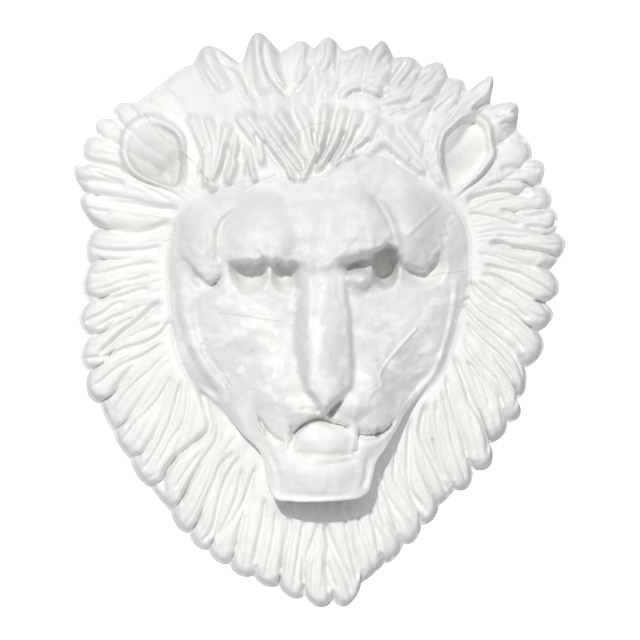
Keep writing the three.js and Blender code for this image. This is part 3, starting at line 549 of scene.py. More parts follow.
# The ears: middle, half-width, half-height, lean in degrees, rise of the rim, depth and tilt of the cup
LEFT_EAR = (-27.9, 28.2, 5.8, 7.7, 35, 2.6, 9.0, 1.5)
RIGHT_EAR = (24.7, 28.4, 5.2, 7.8, -16, 2.8, 6.0, 0.7)
# An ear narrows to this share of its width at its foot, and its rim is this much higher at the upper left
EAR_FOOT_WIDTH = 0.3
EAR_RIM_FALL = 1.8
# How much painted shade lies in the right cup, beside the left one's
RIGHT_CUP_SHADE = 0.1


def ear(x, z, drawn):
    """A cupped ear shaped like a drop, whose rim stands up from the mane and runs out at its foot.

    Returns its height over the mane, the share of the mane's own carving that it covers, and its cup.
    """
    middle_x, middle_z, half_width, half_height, lean, rise, cup, tilt = drawn
    c, s = math.cos(math.radians(lean)), math.sin(math.radians(lean))
    along = (-(x - middle_x) * s + (z - middle_z) * c) / half_height
    across = ((x - middle_x) * c + (z - middle_z) * s) / half_width
    across = across / mix(EAR_FOOT_WIDTH, 1, smooth(along, -1.3, 0.3))
    distance = np.hypot(across, along) + 0.04 * wander(x, z, 2.4, 51)
    inside = 1 - smooth(distance, 0.97, 1.06)
    downhill = (x - middle_x - z + middle_z) / (half_width + half_height)
    rim = rise * (1 - 0.3 * smooth(distance, 0.88, 1)) - EAR_RIM_FALL * np.clip(downhill, -0.8, 0)
    bowl = (1 - smooth(distance, 0.72, 0.9)) * np.clip(1 + tilt * downhill, 0, 2) / (1 + tilt)
    height = inside * rim * smooth(along, -1.1, 0.0) - bowl * cup * smooth(along, -1.1, -0.3)
    return height, inside, bowl


def ears(x, z):
    """Both ears' height, what they cover of the mane, and the painted shade in their cups."""
    left, under_left, left_cup_shade = ear(x, z, LEFT_EAR)
    right, under_right, right_cup_shade = ear(x, z, RIGHT_EAR)
    return left + right, np.maximum(under_left, under_right), left_cup_shade + RIGHT_CUP_SHADE * right_cup_shade


# The face

# The ragged lower edge of the brows, from left to right
BROW_LINE = [
    (-25.0, 11.0), (-23.0, 11.3), (-21.5, 9.0), (-20.0, 7.0), (-19.3, 6.3), (-18.0, 7.0), (-17.0, 8.6),
    (-16.4, 10.4), (-15.0, 9.8), (-13.5, 9.7), (-12.0, 10.1), (-11.0, 9.8), (-9.6, 10.7), (-8.5, 10.1),
    (-7.2, 10.5), (-6.0, 9.8), (-4.5, 10.2), (-3.0, 9.4), (-1.6, 8.4), (0.4, 8.8), (2.0, 10.0), (4.5, 10.8),
    (6.0, 11.4), (8.0, 11.8), (10.0, 12.2), (12.0, 12.8), (12.9, 12.4), (13.5, 10.4), (15.0, 9.2),
    (16.5, 8.6), (17.6, 8.7), (19.0, 9.8), (20.3, 11.5), (21.4, 14.0), (22.6, 18.0),
]
# Over how much height the face goes back from the brow line into the sockets: the less, the steeper
BROW_SOFTNESS = [
    (-25.0, 1.2), (-18.0, 0.8), (-12.0, 0.7), (0.0, 1.4), (3.0, 2.4), (8.0, 2.0), (10.5, 0.7), (22.0, 0.9),
]
# Height of the face up its middle line, from the chin
SPINE = [
    (-32.0, 16.4), (-26.0, 17.2), (-20.0, 17.4), (-14.0, 17.2), (-9.0, 16.9), (-2.0, 16.4), (5.0, 16.2),
    (10.0, 16.6), (14.0, 17.2), (20.0, 16.8), (24.0, 15.9), (30.0, 14.6),
]
# Section of the nose by height: the left foot, both edges of the ridge, the right foot, the rise; and
# the lower end of the nose from left to right
NOSE_LEFT = [
    (13.8, -5.2), (10.0, -4.4), (6.0, -4.1), (2.0, -4.3), (-5.0, -4.5), (-9.0, -3.6), (-12.0, -2.8),
    (-14.8, -0.8),
]
RIDGE_LEFT = [
    (13.8, -2.2), (8.0, -1.8), (0.0, -1.8), (-6.0, -1.1), (-10.0, -1.6), (-12.5, -1.7), (-14.8, -0.2),
]
RIDGE_RIGHT = [(13.8, 1.2), (8.0, 0.6), (0.0, 0.3), (-6.0, 0.4), (-10.0, 0.9), (-13.0, 1.2), (-15.0, 0.9)]
NOSE_RIGHT = [
    (13.8, 5.2), (9.5, 4.1), (4.0, 4.2), (0.0, 4.8), (-5.0, 5.0), (-9.0, 5.3), (-12.0, 5.0), (-13.2, 4.4),
    (-15.3, 2.0),
]
NOSE_RISE = [
    (14.4, 0.0), (10.0, 1.6), (6.0, 3.0), (2.0, 4.0), (-4.0, 4.8), (-9.0, 5.4), (-13.0, 5.3), (-15.2, 4.2),
]
NOSE_FOOT = [
    (-2.6, -12.6), (-1.3, -13.3), (0.0, -15.0), (0.8, -16.0), (1.6, -15.4), (3.9, -13.2), (5.0, -12.2),
]

# Masses of the brows, the pits of the eye sockets, the eyeball, and what else rises or sinks on the face:
# rise or depth, middle, half-width, half-height, flatness
BROW_HUMPS = [
    (2.6, -9.6, 11.0, 8.0, 12.0, 1.6),
    (2.6, 6.6, 12.0, 7.8, 12.0, 1.6),
    (1.7, -1.4, 14.6, 8.4, 10.0, 1.0),
    (1.7, -20.6, 12.0, 4.4, 9.0, 1.4),
    (3.2, 15.3, 16.0, 6.6, 10.2, 1.0),
]
EYE_PITS = [
    (5.0, -12.0, 9.8, 4.0, 5.8, 1.8),
    (4.7, -6.1, 9.8, 2.9, 5.8, 1.8),
    (2.6, -19.2, 7.4, 3.2, 3.0, 1.6),
    (9.4, 11.2, 9.7, 2.8, 4.7, 2.6),
    (4.2, 6.6, 10.2, 4.4, 3.4, 1.6),
    (3.4, 17.2, 9.2, 5.0, 4.2, 1.6),
]
EYEBALL = (4.2, 6.9, 7.2, 2.9, 2.4, 1.3)
FACE_MASSES = [
    (1.3, -7.5, -12.5, 5.6, 8.5, 1.5),
    (1.6, 8.7, -12.6, 4.6, 7.6, 1.6),
    (-1.3, 16.8, -9.0, 4.6, 6.2, 1.5),
    (0.6, -12.8, -1.0, 8.0, 6.5, 1.0),
    (1.7, -2.6, -15.4, 4.4, 2.8, 1.4),
    (1.6, 5.4, -14.6, 3.4, 3.0, 1.4),
    (1.1, 0.6, -20.7, 5.2, 3.3, 1.6),
    (1.7, -0.4, -26.4, 7.8, 4.6, 1.2),
    (0.7, 8.6, -21.6, 2.6, 1.6, 1.2),
    (-0.8, -18.4, -12.0, 3.0, 3.2, 1.0),
]
# Lines drawn on the face: half-width at both ends, rise, fade at both ends, path
FACE_LINES = [
    (1.7, 1.2, 0.9, (0.15, 0.1), [(-24.0, 9.0), (-23.6, 3.0), (-22.2, -3.0), (-20.2, -7.5), (-16.6, -12.4)]),
    (0.9, 0.8, -0.5, (0.2, 0.1), [(-21.4, 6.0), (-21.0, 0.0), (-19.8, -4.8), (-17.4, -9.0), (-15.4, -12.2)]),
    (0.8, 0.8, 0.5, (0.15, 0.1), [(23.4, 8.0), (23.0, 2.0), (21.8, -3.5), (19.8, -9.0), (16.6, -12.5),
                                  (14.4, -15.6)]),
    (0.8, 0.6, -1.0, (0.25, 0.1), [(-13.6, 19.4), (-16.4, 17.0), (-17.6, 14.0), (-17.4, 9.6)]),
    (0.4, 0.4, -0.6, (0.25, 0.1), [(-18.9, 15.6), (-19.0, 12.5), (-18.6, 9.6)]),
    (1.0, 0.9, -1.3, (0.3, 0.02), [(7.0, 22.4), (9.8, 20.2), (12.0, 16.8), (13.2, 12.6), (13.6, 9.6)]),
    (0.6, 0.8, -2.8, (0.1, 0.02), [(-4.9, -21.6), (-4.6, -19.8), (-3.4, -18.4), (-1.8, -17.3),
                                   (-0.3, -16.9), (0.8, -17.0)]),
    (0.8, 0.5, -2.6, (0.02, 0.15), [(0.8, -17.0), (1.9, -17.6), (3.6, -18.0), (5.2, -18.8)]),
    (0.4, 0.5, -1.3, (0.1, 0.1), [(-4.9, -17.6), (-5.0, -20.0), (-4.9, -22.6)]),
    (0.4, 0.4, 0.6, (0.1, 0.1), [(5.9, -15.8), (6.0, -19.0), (6.0, -22.4)]),
    (0.4, 0.6, -1.4, (0.1, 0.1), [(6.5, -18.6), (6.5, -20.5), (6.1, -23.0)]),
    (0.4, 0.8, -1.8, (0.3, 0.05), [(-11.0, -15.8), (-9.6, -18.3), (-8.0, -20.3), (-6.3, -21.0)]),
    (0.8, 0.5, -2.2, (0.05, 0.2), [(6.4, -19.5), (8.2, -19.7), (10.4, -19.4), (12.0, -18.2), (12.8, -17.0)]),
    (0.5, 0.5, -1.0, (0.1, 0.1), [(-4.6, -22.7), (0.6, -22.9), (6.0, -23.0)]),
    (0.5, 0.6, -0.8, (0.2, 0.2), [(-1.4, -24.4), (1.6, -24.7), (4.6, -24.2), (6.6, -23.4)]),
    (0.8, 0.8, -0.6, (0.2, 0.1), [(8.0, -23.2), (8.0, -26.0), (7.2, -29.0)]),
    (0.8, 0.8, -0.4, (0.3, 0.1), [(-9.0, -22.0), (-7.6, -24.6), (-6.8, -28.0), (-7.4, -30.4)]),
    (0.9, 0.6, -1.8, (0.1, 0.3), [(1.5, -16.4), (2.4, -15.2), (4.0, -13.4)]),
    (0.5, 0.5, -0.9, (0.1, 0.1), [(-3.2, -14.9), (-1.4, -15.4), (0.2, -16.0)]),
    (0.5, 0.5, 0.5, (0.2, 0.1), [(-4.8, -15.6), (-1.6, -15.8), (0.6, -16.2)]),
    (0.6, 0.6, -0.9, (0.1, 0.1), [(4.3, 8.4), (5.6, 9.2), (7.4, 8.8), (9.0, 7.5)]),
    (0.4, 0.4, -0.7, (0.1, 0.2), [(5.4, 6.3), (6.8, 7.2), (8.4, 6.4)]),
    (0.7, 0.5, 0.6, (0.2, 0.2), [(4.6, 5.2), (7.0, 4.8), (9.6, 5.6)]),
]
# How much of the greyer paint shows at each height of the face
FACE_GREYNESS = [(-31.0, 0.0), (-23.0, 0.1), (-14.0, 0.6), (4.0, 0.65), (12.0, 0.8), (17.0, 1.0)]
# Thin raised seams left by the modelling
SEAM_HALF_WIDTH = 0.42
SEAM_RISE = 0.42
SEAMS = [
    [(14.9, 14.4), (17.6, 17.0), (20.9, 19.9)],
    [(4.2, 8.6), (3.9, 6.8), (4.0, 4.4), (4.8, 0.6), (4.9, -4.6), (5.7, -8.0)],
    [(23.7, 18.7), (24.8, 15.4), (25.5, 12.1)],
    [(-19.8, -4.8), (-18.6, -7.6), (-17.0, -9.6), (-15.4, -12.2)],
    [(16.4, -1.6), (13.3, -5.0), (10.9, -8.0), (10.2, -9.6), (10.5, -11.4), (8.3, -13.2), (8.3, -18.4)],
    [(23.6, 1.4), (23.1, -3.4), (21.2, -6.6), (20.4, -9.4), (18.0, -12.0), (15.4, -14.8), (13.6, -19.4)],
    [(-26.0, 13.6), (-25.8, 9.0), (-25.4, 3.0)],
    [(6.0, -16.0), (6.0, -19.4), (6.1, -22.6)],
    [(-6.6, -14.6), (-4.6, -14.7), (-2.4, -14.8)],
    [(-18.3, 15.6), (-18.2, 12.4), (-18.4, 9.8)],
]

# How far the brow line wanders up and down
BROW_RAGGEDNESS = 0.35
# The chin's lower edge turns back by this much
CHIN_TURN = 1.6
# Unevenness left by the tools: its height, its size and its random seed
TOOL_MARKS = [(0.10, 1.1, 31), (0.16, 2.6, 32), (0.22, 6.0, 33)]


def read(table, at):
    """Value between the rows of a table of (place, value)."""
    places, values = np.array(sorted(table)).T
    return np.interp(at, places, values)


def masses(x, z, table):
    """Each oval hump of a table of rise, middle, half-width, half-height and flatness."""
    return [rise * mass(x, z, *oval) for rise, *oval in table]


def face_shell(x, z):
    """The face without its features, and the share of the way from the pole to its edge."""
    angle = np.degrees(np.arctan2(x, z - POLE_HEIGHT))
    outward = np.clip(np.hypot(x, z - POLE_HEIGHT) / FACE_EDGE(angle), 0, 1)
    edge = FACE_EDGE_HEIGHT(angle)
    squareness = mix(3.0, 4.0, smooth(-z, 4, 14))
    return edge + (read(SPINE, z) - edge) * (1 - outward**squareness) ** 0.95, outward


def brows(x, z, below):
    return sum(hump**4 for hump in masses(x, z, BROW_HUMPS)) ** 0.25 * (1 - below)


def sockets(x, z, below):
    eyeball = masses(x, z, [EYEBALL])[0]
    return (eyeball - np.maximum.reduce(masses(x, z, EYE_PITS))) * below


def nose(x, z):
    left, ridge_left = read(NOSE_LEFT, z), read(RIDGE_LEFT, z)
    ridge_right, right = read(RIDGE_RIGHT, z), read(NOSE_RIGHT, z)
    up_left = np.clip((x - left) / (ridge_left - left), 0, 1)
    down_right = np.clip((x - ridge_right) / np.maximum(right - ridge_right, 0.1), 0, 1)
    height = read(NOSE_RISE, z) * (1 - (1 - up_left) ** 1.25) * (1 - 0.5 * down_right**1.5)
    height = height * (1 - smooth(x, right - 0.2, right + 0.8))
    foot = -read(NOSE_FOOT, x)
    under = smooth(-z, foot - 1.4, foot + 0.8)
    return height * (1 - under) * (1 - smooth(z, 9.7, 14.4))


def tool_marks(x, z):
    """Low unevenness all over the face, with lumps over the brow line and cross strokes on the right jaw."""
    everywhere = sum(rise * wander(x, z, cell, seed) for rise, cell, seed in TOOL_MARKS)
    over_brow = 0.4 * wander(x, z, 0.9, 41) * bell(np.abs(z - read(BROW_LINE, x) - 0.9) / 2.2)
    on_right_jaw = 0.22 * wander(x, 2 * z, 1.3, 42) * mass(x, z, 14.0, -8.0, 8.5, 12.0)
    return everywhere + over_brow + on_right_jaw


def face_height(x, z):
    """Height of the face over the wall, with its features and the fringe over them."""
    shell, outward = face_shell(x, z)
    ragged = read(BROW_LINE, x) + BROW_RAGGEDNESS * wander(x, z, 1.3, 21)
    below = smooth(-z, -ragged - 0.25, -ragged + read(BROW_SOFTNESS, x))
    features = brows(x, z, below) + sockets(x, z, below) + nose(x, z) + sum(masses(x, z, FACE_MASSES))
    features = features - CHIN_TURN * smooth(-z, 29.2, 31.4)
    for start_width, end_width, rise, fade, path in FACE_LINES:
        features = features + stroke(x, z, path, start_width, end_width, rise, fade=fade)
    for path in SEAMS:
        features = features + stroke(x, z, path, SEAM_HALF_WIDTH, SEAM_HALF_WIDTH, SEAM_RISE, flat=0.7)
    features = features + tool_marks(x, z)
    fringe = drawn_height(x, z, FRINGE_STROKES, HAIR_LEAN)
    return shell + features * (1 - smooth(outward, 0.95, 1.0)) + fringe


# The carved surface as rows of points

# Painted shade, greyed into the paint of hollows: how many steps of the net it looks round itself, how deep a
# groove takes all of it, and how much painted shadow lies under the chin and in the ears
SHADE_REACH = 3
FULLY_SHADED_DEPTH = 0.45
CHIN_SHADOW = 5
CHIN_SHADOW_ROWS = 20
EAR_SHADE = 6
# Share of the greyer paint on the crown
CROWN_GREYNESS = 0.55
# Size of the brush marks round the mane and along it
BRUSH_ROUND = 0.65
BRUSH_ALONG = 30.0


def place(angle, radius):
    """Where an angle and a distance from the pole lie on the head."""
    turned = np.radians(angle)
    return radius * np.sin(turned), POLE_HEIGHT + radius * np.cos(turned)


def hollowness(height):
    """How far each point of a net lies below its neighbours, from 0 to 1."""
    around = np.zeros(height.shape)
    for step in range(1, SHADE_REACH + 1):
        for axis in (0, 1):
            around += np.roll(height, step, axis) + np.roll(height, -step, axis)
    return np.clip((around / (4 * SHADE_REACH) - height) / FULLY_SHADED_DEPTH, 0, 1)


def points(x, height, z, grey_paint_and_shade, hollow_shade, across, along):
    """One row for each point: its place in metres, then what the paint needs to know of it."""
    columns = (x * HUNDREDTH, -height * DEPTH_STEP, z * HUNDREDTH, grey_paint_and_shade, hollow_shade, across, along)
    return np.stack(np.broadcast_arrays(*columns), axis=-1)


class CarvedNet:
    """Places of every row and column of the head's surface."""

    def __init__(self):
        self.mane = Mane()
        self.tip_angle = FIRST_COLUMN + np.arange(COLUMNS) * 360 / COLUMNS
        self.root_angle = self.tip_angle - SWEEP(self.tip_angle)
        self.edge_x, self.edge_z = place(self.root_angle, FACE_EDGE(self.root_angle))
        self.edge_height = face_height(self.edge_x, self.edge_z)
        self.brushed_round = self.tip_angle * BRUSH_ROUND

    def face(self):
        """The square net of the face, stretched to meet every second column."""
        step = FACE_STEPS
        side = np.arange(step + 1)
        u, v = np.meshgrid(side / step, side / step)
        stretched = []
        for edge in (self.edge_x[::2], self.edge_z[::2]):
            top, right = edge[side], edge[step + side]
            bottom, left = edge[3 * step - side], edge[(4 * step - side) % (4 * step)]
            rows = mix(top[None, :], bottom[None, :], v) + mix(left[:, None], right[:, None], u)
            stretched.append(rows - mix(mix(top[0], top[-1], u), mix(bottom[0], bottom[-1], u), v))
        x, z = stretched
        height = face_height(x, z)
        border = SHADE_REACH + 1
        # Painted shade in the face's hollows: the lower a point lies below its neighbours, the greyer
        hollow_shade = np.pad(hollowness(height)[border:-border, border:-border], border)
        return points(x, height, z, read(FACE_GREYNESS, z), hollow_shade, x, z)

    def mane_rows(self):
        """The mane from its roots to its rim: x, height, z and the painted shade of the ears' cups, row by
        row outward.
        """
        share, tip_angle = np.meshgrid(np.linspace(0, 1, MANE_ROWS + 1), self.tip_angle, indexing="ij")
        root_angle = np.broadcast_to(self.root_angle, share.shape)
        wobble = 1.5 * wander(tip_angle, share * 22 + 30, 9, 11)
        wobble = wobble * smooth(share, 0, 0.3) * smooth(1.02 - share, 0, 0.25)
        angle = tip_angle - SWEEP(tip_angle) * (1 - share) ** BEND(tip_angle) - wobble
        radius = mix(FACE_EDGE(root_angle) + ROOT_SHIFT(root_angle), self.mane.outline(tip_angle), share)
        x, z = place(angle, radius)
        grooves, drawn = groove_depth(x, z, GROOVES)
        ear_rise, covered, cup_shade = ears(x, z)
        hair = drawn_height(x, z, CROWN_STROKES + FRINGE_STROKES, HAIR_LEAN) - GROOVE_DEPTH_KEPT * grooves
        hair = hair * mix(1, 0.35, smooth(share, 0.94, 1.0)) * (1 - covered)
        mane = self.mane.height(tip_angle, share, radius, drawn, covered)
        return x, np.maximum(mane + hair + ear_rise, LEAST_HEIGHT), z, cup_shade

    def collar(self, root_x, root_height, root_z, overhang_shadow):
        """The step down from the edge of the face to the roots of the mane, with painted shadow on it where
        the step is high.
        """
        for i in range(COLLAR_ROWS):
            share = i / COLLAR_ROWS
            x, z = mix(self.edge_x, root_x, share**2), mix(self.edge_z, root_z, share**2)
            height = mix(self.edge_height, root_height, smooth(share, 0, 1))
            yield points(x, height, z, read(FACE_GREYNESS, z) * (1 - 0.6 * share), share * overhang_shadow, x, z)

    def rim_and_back(self, x, height, z):
        """The rim of the mane down to the wall, a little undercut, and the flat back."""
        angle, radius = np.degrees(np.arctan2(x, z - POLE_HEIGHT)), np.hypot(x, z - POLE_HEIGHT)
        undercut = RIM_UNDERCUT / HUNDREDTH
        for i in range(1, RIM_ROWS + 1):
            share = i / RIM_ROWS
            rim_x, rim_z = place(angle, radius - undercut * smooth(share, 0.3, 1))
            lower = height * (1 - share)
            yield points(rim_x, lower, rim_z, 0.0, 0.0, self.brushed_round, BRUSH_ALONG + share)
        for i in range(1, BACK_ROWS + 1):
            back_x, back_z = place(angle, (radius - undercut) * (1 - i / BACK_ROWS))
            yield points(back_x, 0 * height, back_z, 0.0, 0.0, back_x, back_z)

    def rows(self):
        """Every row outside the face, from its edge to the back."""
        x, height, z, cup_shade = self.mane_rows()
        # Painted shadow under the face's edge where it stands high over the mane's roots: under the chin and
        # beside the jaw
        overhang_shadow = CHIN_SHADOW * smooth(self.edge_height - height[0], 4.5, 8)
        yield from self.collar(x[0], height[0], z[0], overhang_shadow)
        # Painted shade in the grooves and in the ears' cups
        hollow_shade = np.maximum(hollowness(height), EAR_SHADE * cup_shade)
        hollow_shade[-SHADE_REACH:] = 0
        # The painted shadow under the chin fades out over the first rows of the mane
        shadow_fade = 1 - np.linspace(0, 1, CHIN_SHADOW_ROWS)[:, None] ** 2
        hollow_shade[:CHIN_SHADOW_ROWS] = np.maximum(hollow_shade[:CHIN_SHADOW_ROWS], overhang_shadow * shadow_fade)
        crown = CROWN_GREYNESS * smooth(z, 18, 26) * (1 - smooth(np.abs(x), 20, 28))
        # The ears' cups also take the greyer paint, as painted shade
        grey_paint_and_shade = np.maximum(crown, cup_shade)
        for i in range(MANE_ROWS + 1):
            brushed_along = BRUSH_ALONG * i / MANE_ROWS
            yield points(x[i], height[i], z[i], grey_paint_and_shade[i], hollow_shade[i], self.brushed_round, brushed_along)
        yield from self.rim_and_back(x[-1], height[-1], z[-1])


def next_row(bm, row):
    """Extrude a closed row of vertices once, and give its new vertices in the same order."""
    edges = [bm.edges.get((a, b)) for a, b in zip(row, row[1:] + row[:1])]
    made = bmesh.ops.extrude_edge_only(bm, edges=edges)["geom"]
    fresh = {vert for vert in made if isinstance(vert, bmesh.types.BMVert)}

    def above(vert):
        return next(edge.other_vert(vert) for edge in vert.link_edges if edge.other_vert(vert) in fresh)

    return [above(vert) for vert in row]


def halved(bm, row):
    """Split every edge of a closed row in two, and give the row with its new vertices."""
    longer = []
    for a, b in zip(row, row[1:] + row[:1]):
        middle = bmesh.utils.edge_split(bm.edges.get((a, b)), a, 0.5)[1]
        longer += [a, middle]
    return longer


def carve_head(material):
    """The whole head: the face as a grid, then row after row round it, out to the rim and over the back."""
    net = CarvedNet()
    bm = bmesh.new()
    grey_paint_and_shade = bm.verts.layers.float.new("grey_paint_and_shade")
    hollow_shade = bm.verts.layers.float.new("hollow_shade")
    flow = bm.verts.layers.float_vector.new("flow")
    made = bmesh.ops.create_grid(bm, x_segments=FACE_STEPS, y_segments=FACE_STEPS, size=1.0)["verts"]
    grid = sorted(made, key=lambda vert: (-round(vert.co.y, 5), round(vert.co.x, 5)))

    def put(verts, spots):
        for vert, (x, y, z, grey_and_shade, shaded, across, along) in zip(verts, spots.tolist()):
            vert.co = (x, y, z)
            vert[grey_paint_and_shade] = grey_and_shade
            vert[hollow_shade] = shaded
            vert[flow] = (across, along, 0.0)

    face = net.face()
    put(grid, face.reshape(-1, face.shape[-1]))
    side = FACE_STEPS + 1
    rows = [grid[i * side:(i + 1) * side] for i in range(side)]
    border = rows[0] + [row[-1] for row in rows[1:]] + rows[-1][-2::-1] + [row[0] for row in rows[-2:0:-1]]
    border = halved(bm, border)
    rows_outward = net.rows()
    put(border, next(rows_outward))
    for spots in rows_outward:
        border = next_row(bm, border)
        put(border, spots)
    bmesh.ops.remove_doubles(bm, verts=border, dist=1e-6)
    bmesh.ops.recalc_face_normals(bm, faces=bm.faces)
    for face in bm.faces:
        lies_on_the_wall = face.normal.y > 0.99
        face.smooth = not lies_on_the_wall
    mesh = bpy.data.meshes.new("carved_lion_head")
    bm.to_mesh(mesh)
    bm.free()
    head = bpy.data.objects.new("carved_lion_head", mesh)
    bpy.context.scene.collection.objects.link(head)
    mesh.materials.append(material)
    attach(head, "root")
    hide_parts("lion_head")
    return head


# Paint

MANE_WHITES = ((0.90, 0.90, 0.885, 1), (0.94, 0.935, 0.92, 1))
# The greyer paint of the face, the thick dabs over it, and what darkens both: bristle marks, painted shade in
# hollows, and cracks
GREYER_WHITES = ((0.71, 0.715, 0.71, 1), (0.775, 0.775, 0.765, 1))
THICK_WHITE = (0.905, 0.905, 0.89, 1)
BRISTLE_GREY = (0.70, 0.70, 0.69, 1)
SHADE_GREY = (0.55, 0.55, 0.54, 1)
CRACK_GREY = (0.42, 0.42, 0.42, 1)

# Hairline cracks in the paint, with their half-width and how far they waver, in metres
CRACK_HALF_WIDTH = 0.0014
CRACK_WAVER = 0.004
CRACKS = [
    [(-17.3, 1.3), (-13.0, 0.7), (-9.8, 0.1), (-6.5, -0.2)],
    [(-13.0, 22.4), (-10.4, 23.8), (-7.6, 24.8)],
    [(-6.9, 29.5), (-3.4, 32.3), (-1.6, 33.6), (0.6, 33.8)],
    [(17.5, 7.2), (20.9, 8.0), (24.6, 8.3)],
    [(11.8, 35.2), (14.0, 36.2), (16.0, 36.5), (18.0, 37.8), (20.6, 38.5)],
    [(-20.4, -4.2), (-19.2, -3.1)],
    [(-27.2, 13.4), (-25.8, 13.9)],
    [(0.4, -40.5), (0.2, -46.0)],
]


class Tree:
    """A node tree to which nodes are added with their inputs set or linked."""

    def __init__(self, tree):
        self.tree = tree

    def add(self, kind, inputs=None, **settings):
        node = self.tree.nodes.new("ShaderNode" + kind)
        for name, value in settings.items():
            setattr(node, name, value)
        for name, value in (inputs or {}).items():
            if isinstance(value, bpy.types.NodeSocket):
                self.feed(value, node, name)
            else:
                node.inputs[name].default_value = value
        return node

    def feed(self, output, node, name):
        self.tree.links.new(output, node.inputs[name])

    def math(self, operation, a, b=0.0, clamp=False):
        return self.add("Math", {0: a, 1: b}, operation=operation, use_clamp=clamp).outputs[0]

    def times(self, a, b):
        return self.math("MULTIPLY", a, b)

    def total(self, *values):
        so_far = values[0]
        for value in values[1:]:
            so_far = self.math("ADD", so_far, value)
        return so_far

    def vector(self, operation, *inputs):
        return self.add("VectorMath", dict(enumerate(inputs)), operation=operation)

    def between(self, value, low, high, to_low=0.0, to_high=1.0):
        inputs = {"Value": value, "From Min": low, "From Max": high, "To Min": to_low, "To Max": to_high}
        return self.add("MapRange", inputs, interpolation_type="SMOOTHSTEP").outputs["Result"]

    def noise(self, place, scale, detail=2.0, stretch=(1, 1, 1)):
        scaled = self.vector("MULTIPLY", place, stretch).outputs["Vector"]
        return self.add("TexNoise", {"Vector": scaled, "Scale": scale, "Detail": detail}).outputs["Fac"]

    def mixed(self, share, a, b):
        node = self.add("Mix", {"Factor": share, "A": a, "B": b}, data_type="RGBA")
        return node.outputs["Result"]

    def told(self, name):
        return self.add("Attribute", attribute_name=name)


def line_mask_group():
    """1 along the straight line between two places, fading to 0 at the half width."""
    group = bpy.data.node_groups.new("line mask", "ShaderNodeTree")
    for name, kind in (("Place", "Vector"), ("From", "Vector"), ("To", "Vector"), ("Half Width", "Float")):
        group.interface.new_socket(name=name, in_out="INPUT", socket_type="NodeSocket" + kind)
    group.interface.new_socket(name="Mask", in_out="OUTPUT", socket_type="NodeSocketFloat")
    tree = Tree(group)
    given = group.nodes.new("NodeGroupInput").outputs
    run = tree.vector("SUBTRACT", given["To"], given["From"]).outputs["Vector"]
    off = tree.vector("SUBTRACT", given["Place"], given["From"]).outputs["Vector"]
    passed = tree.vector("DOT_PRODUCT", off, run).outputs["Value"]
    length = tree.vector("DOT_PRODUCT", run, run).outputs["Value"]
    share = tree.math("DIVIDE", passed, length, clamp=True)
    foot = tree.add("VectorMath", {0: run, "Scale": share}, operation="SCALE").outputs["Vector"]
    aside = tree.vector("SUBTRACT", off, foot).outputs["Vector"]
    distance = tree.vector("LENGTH", aside).outputs["Value"]
    mask = tree.between(distance, 0.0, given["Half Width"], 1.0, 0.0)
    out = group.nodes.new("NodeGroupOutput")
    tree.feed(mask, out, "Mask")
    return group


def crack_mask(tree, place):
    """1 on the cracks, which waver a little off their straight pieces."""
    noise = tree.add("TexNoise", {"Vector": place, "Scale": 45.0, "Detail": 1.0}).outputs["Color"]
    wavering = tree.vector("MULTIPLY_ADD", noise, (CRACK_WAVER, 0, CRACK_WAVER), place).outputs["Vector"]
    level = tree.vector("MULTIPLY", wavering, (1, 0, 1)).outputs["Vector"]
    centred = tree.vector("SUBTRACT", level, (CRACK_WAVER / 2, 0, CRACK_WAVER / 2)).outputs["Vector"]
    line_mask = line_mask_group()
    highest = 0.0
    for path in CRACKS:
        for (start_x, start_z), (end_x, end_z) in zip(path, path[1:]):
            piece = tree.add("Group", {
                "Place": centred,
                "From": (start_x * HUNDREDTH, 0, start_z * HUNDREDTH),
                "To": (end_x * HUNDREDTH, 0, end_z * HUNDREDTH),
                "Half Width": CRACK_HALF_WIDTH,
            }, node_tree=line_mask)
            highest = tree.math("MAXIMUM", piece.outputs["Mask"], highest)
    return highest


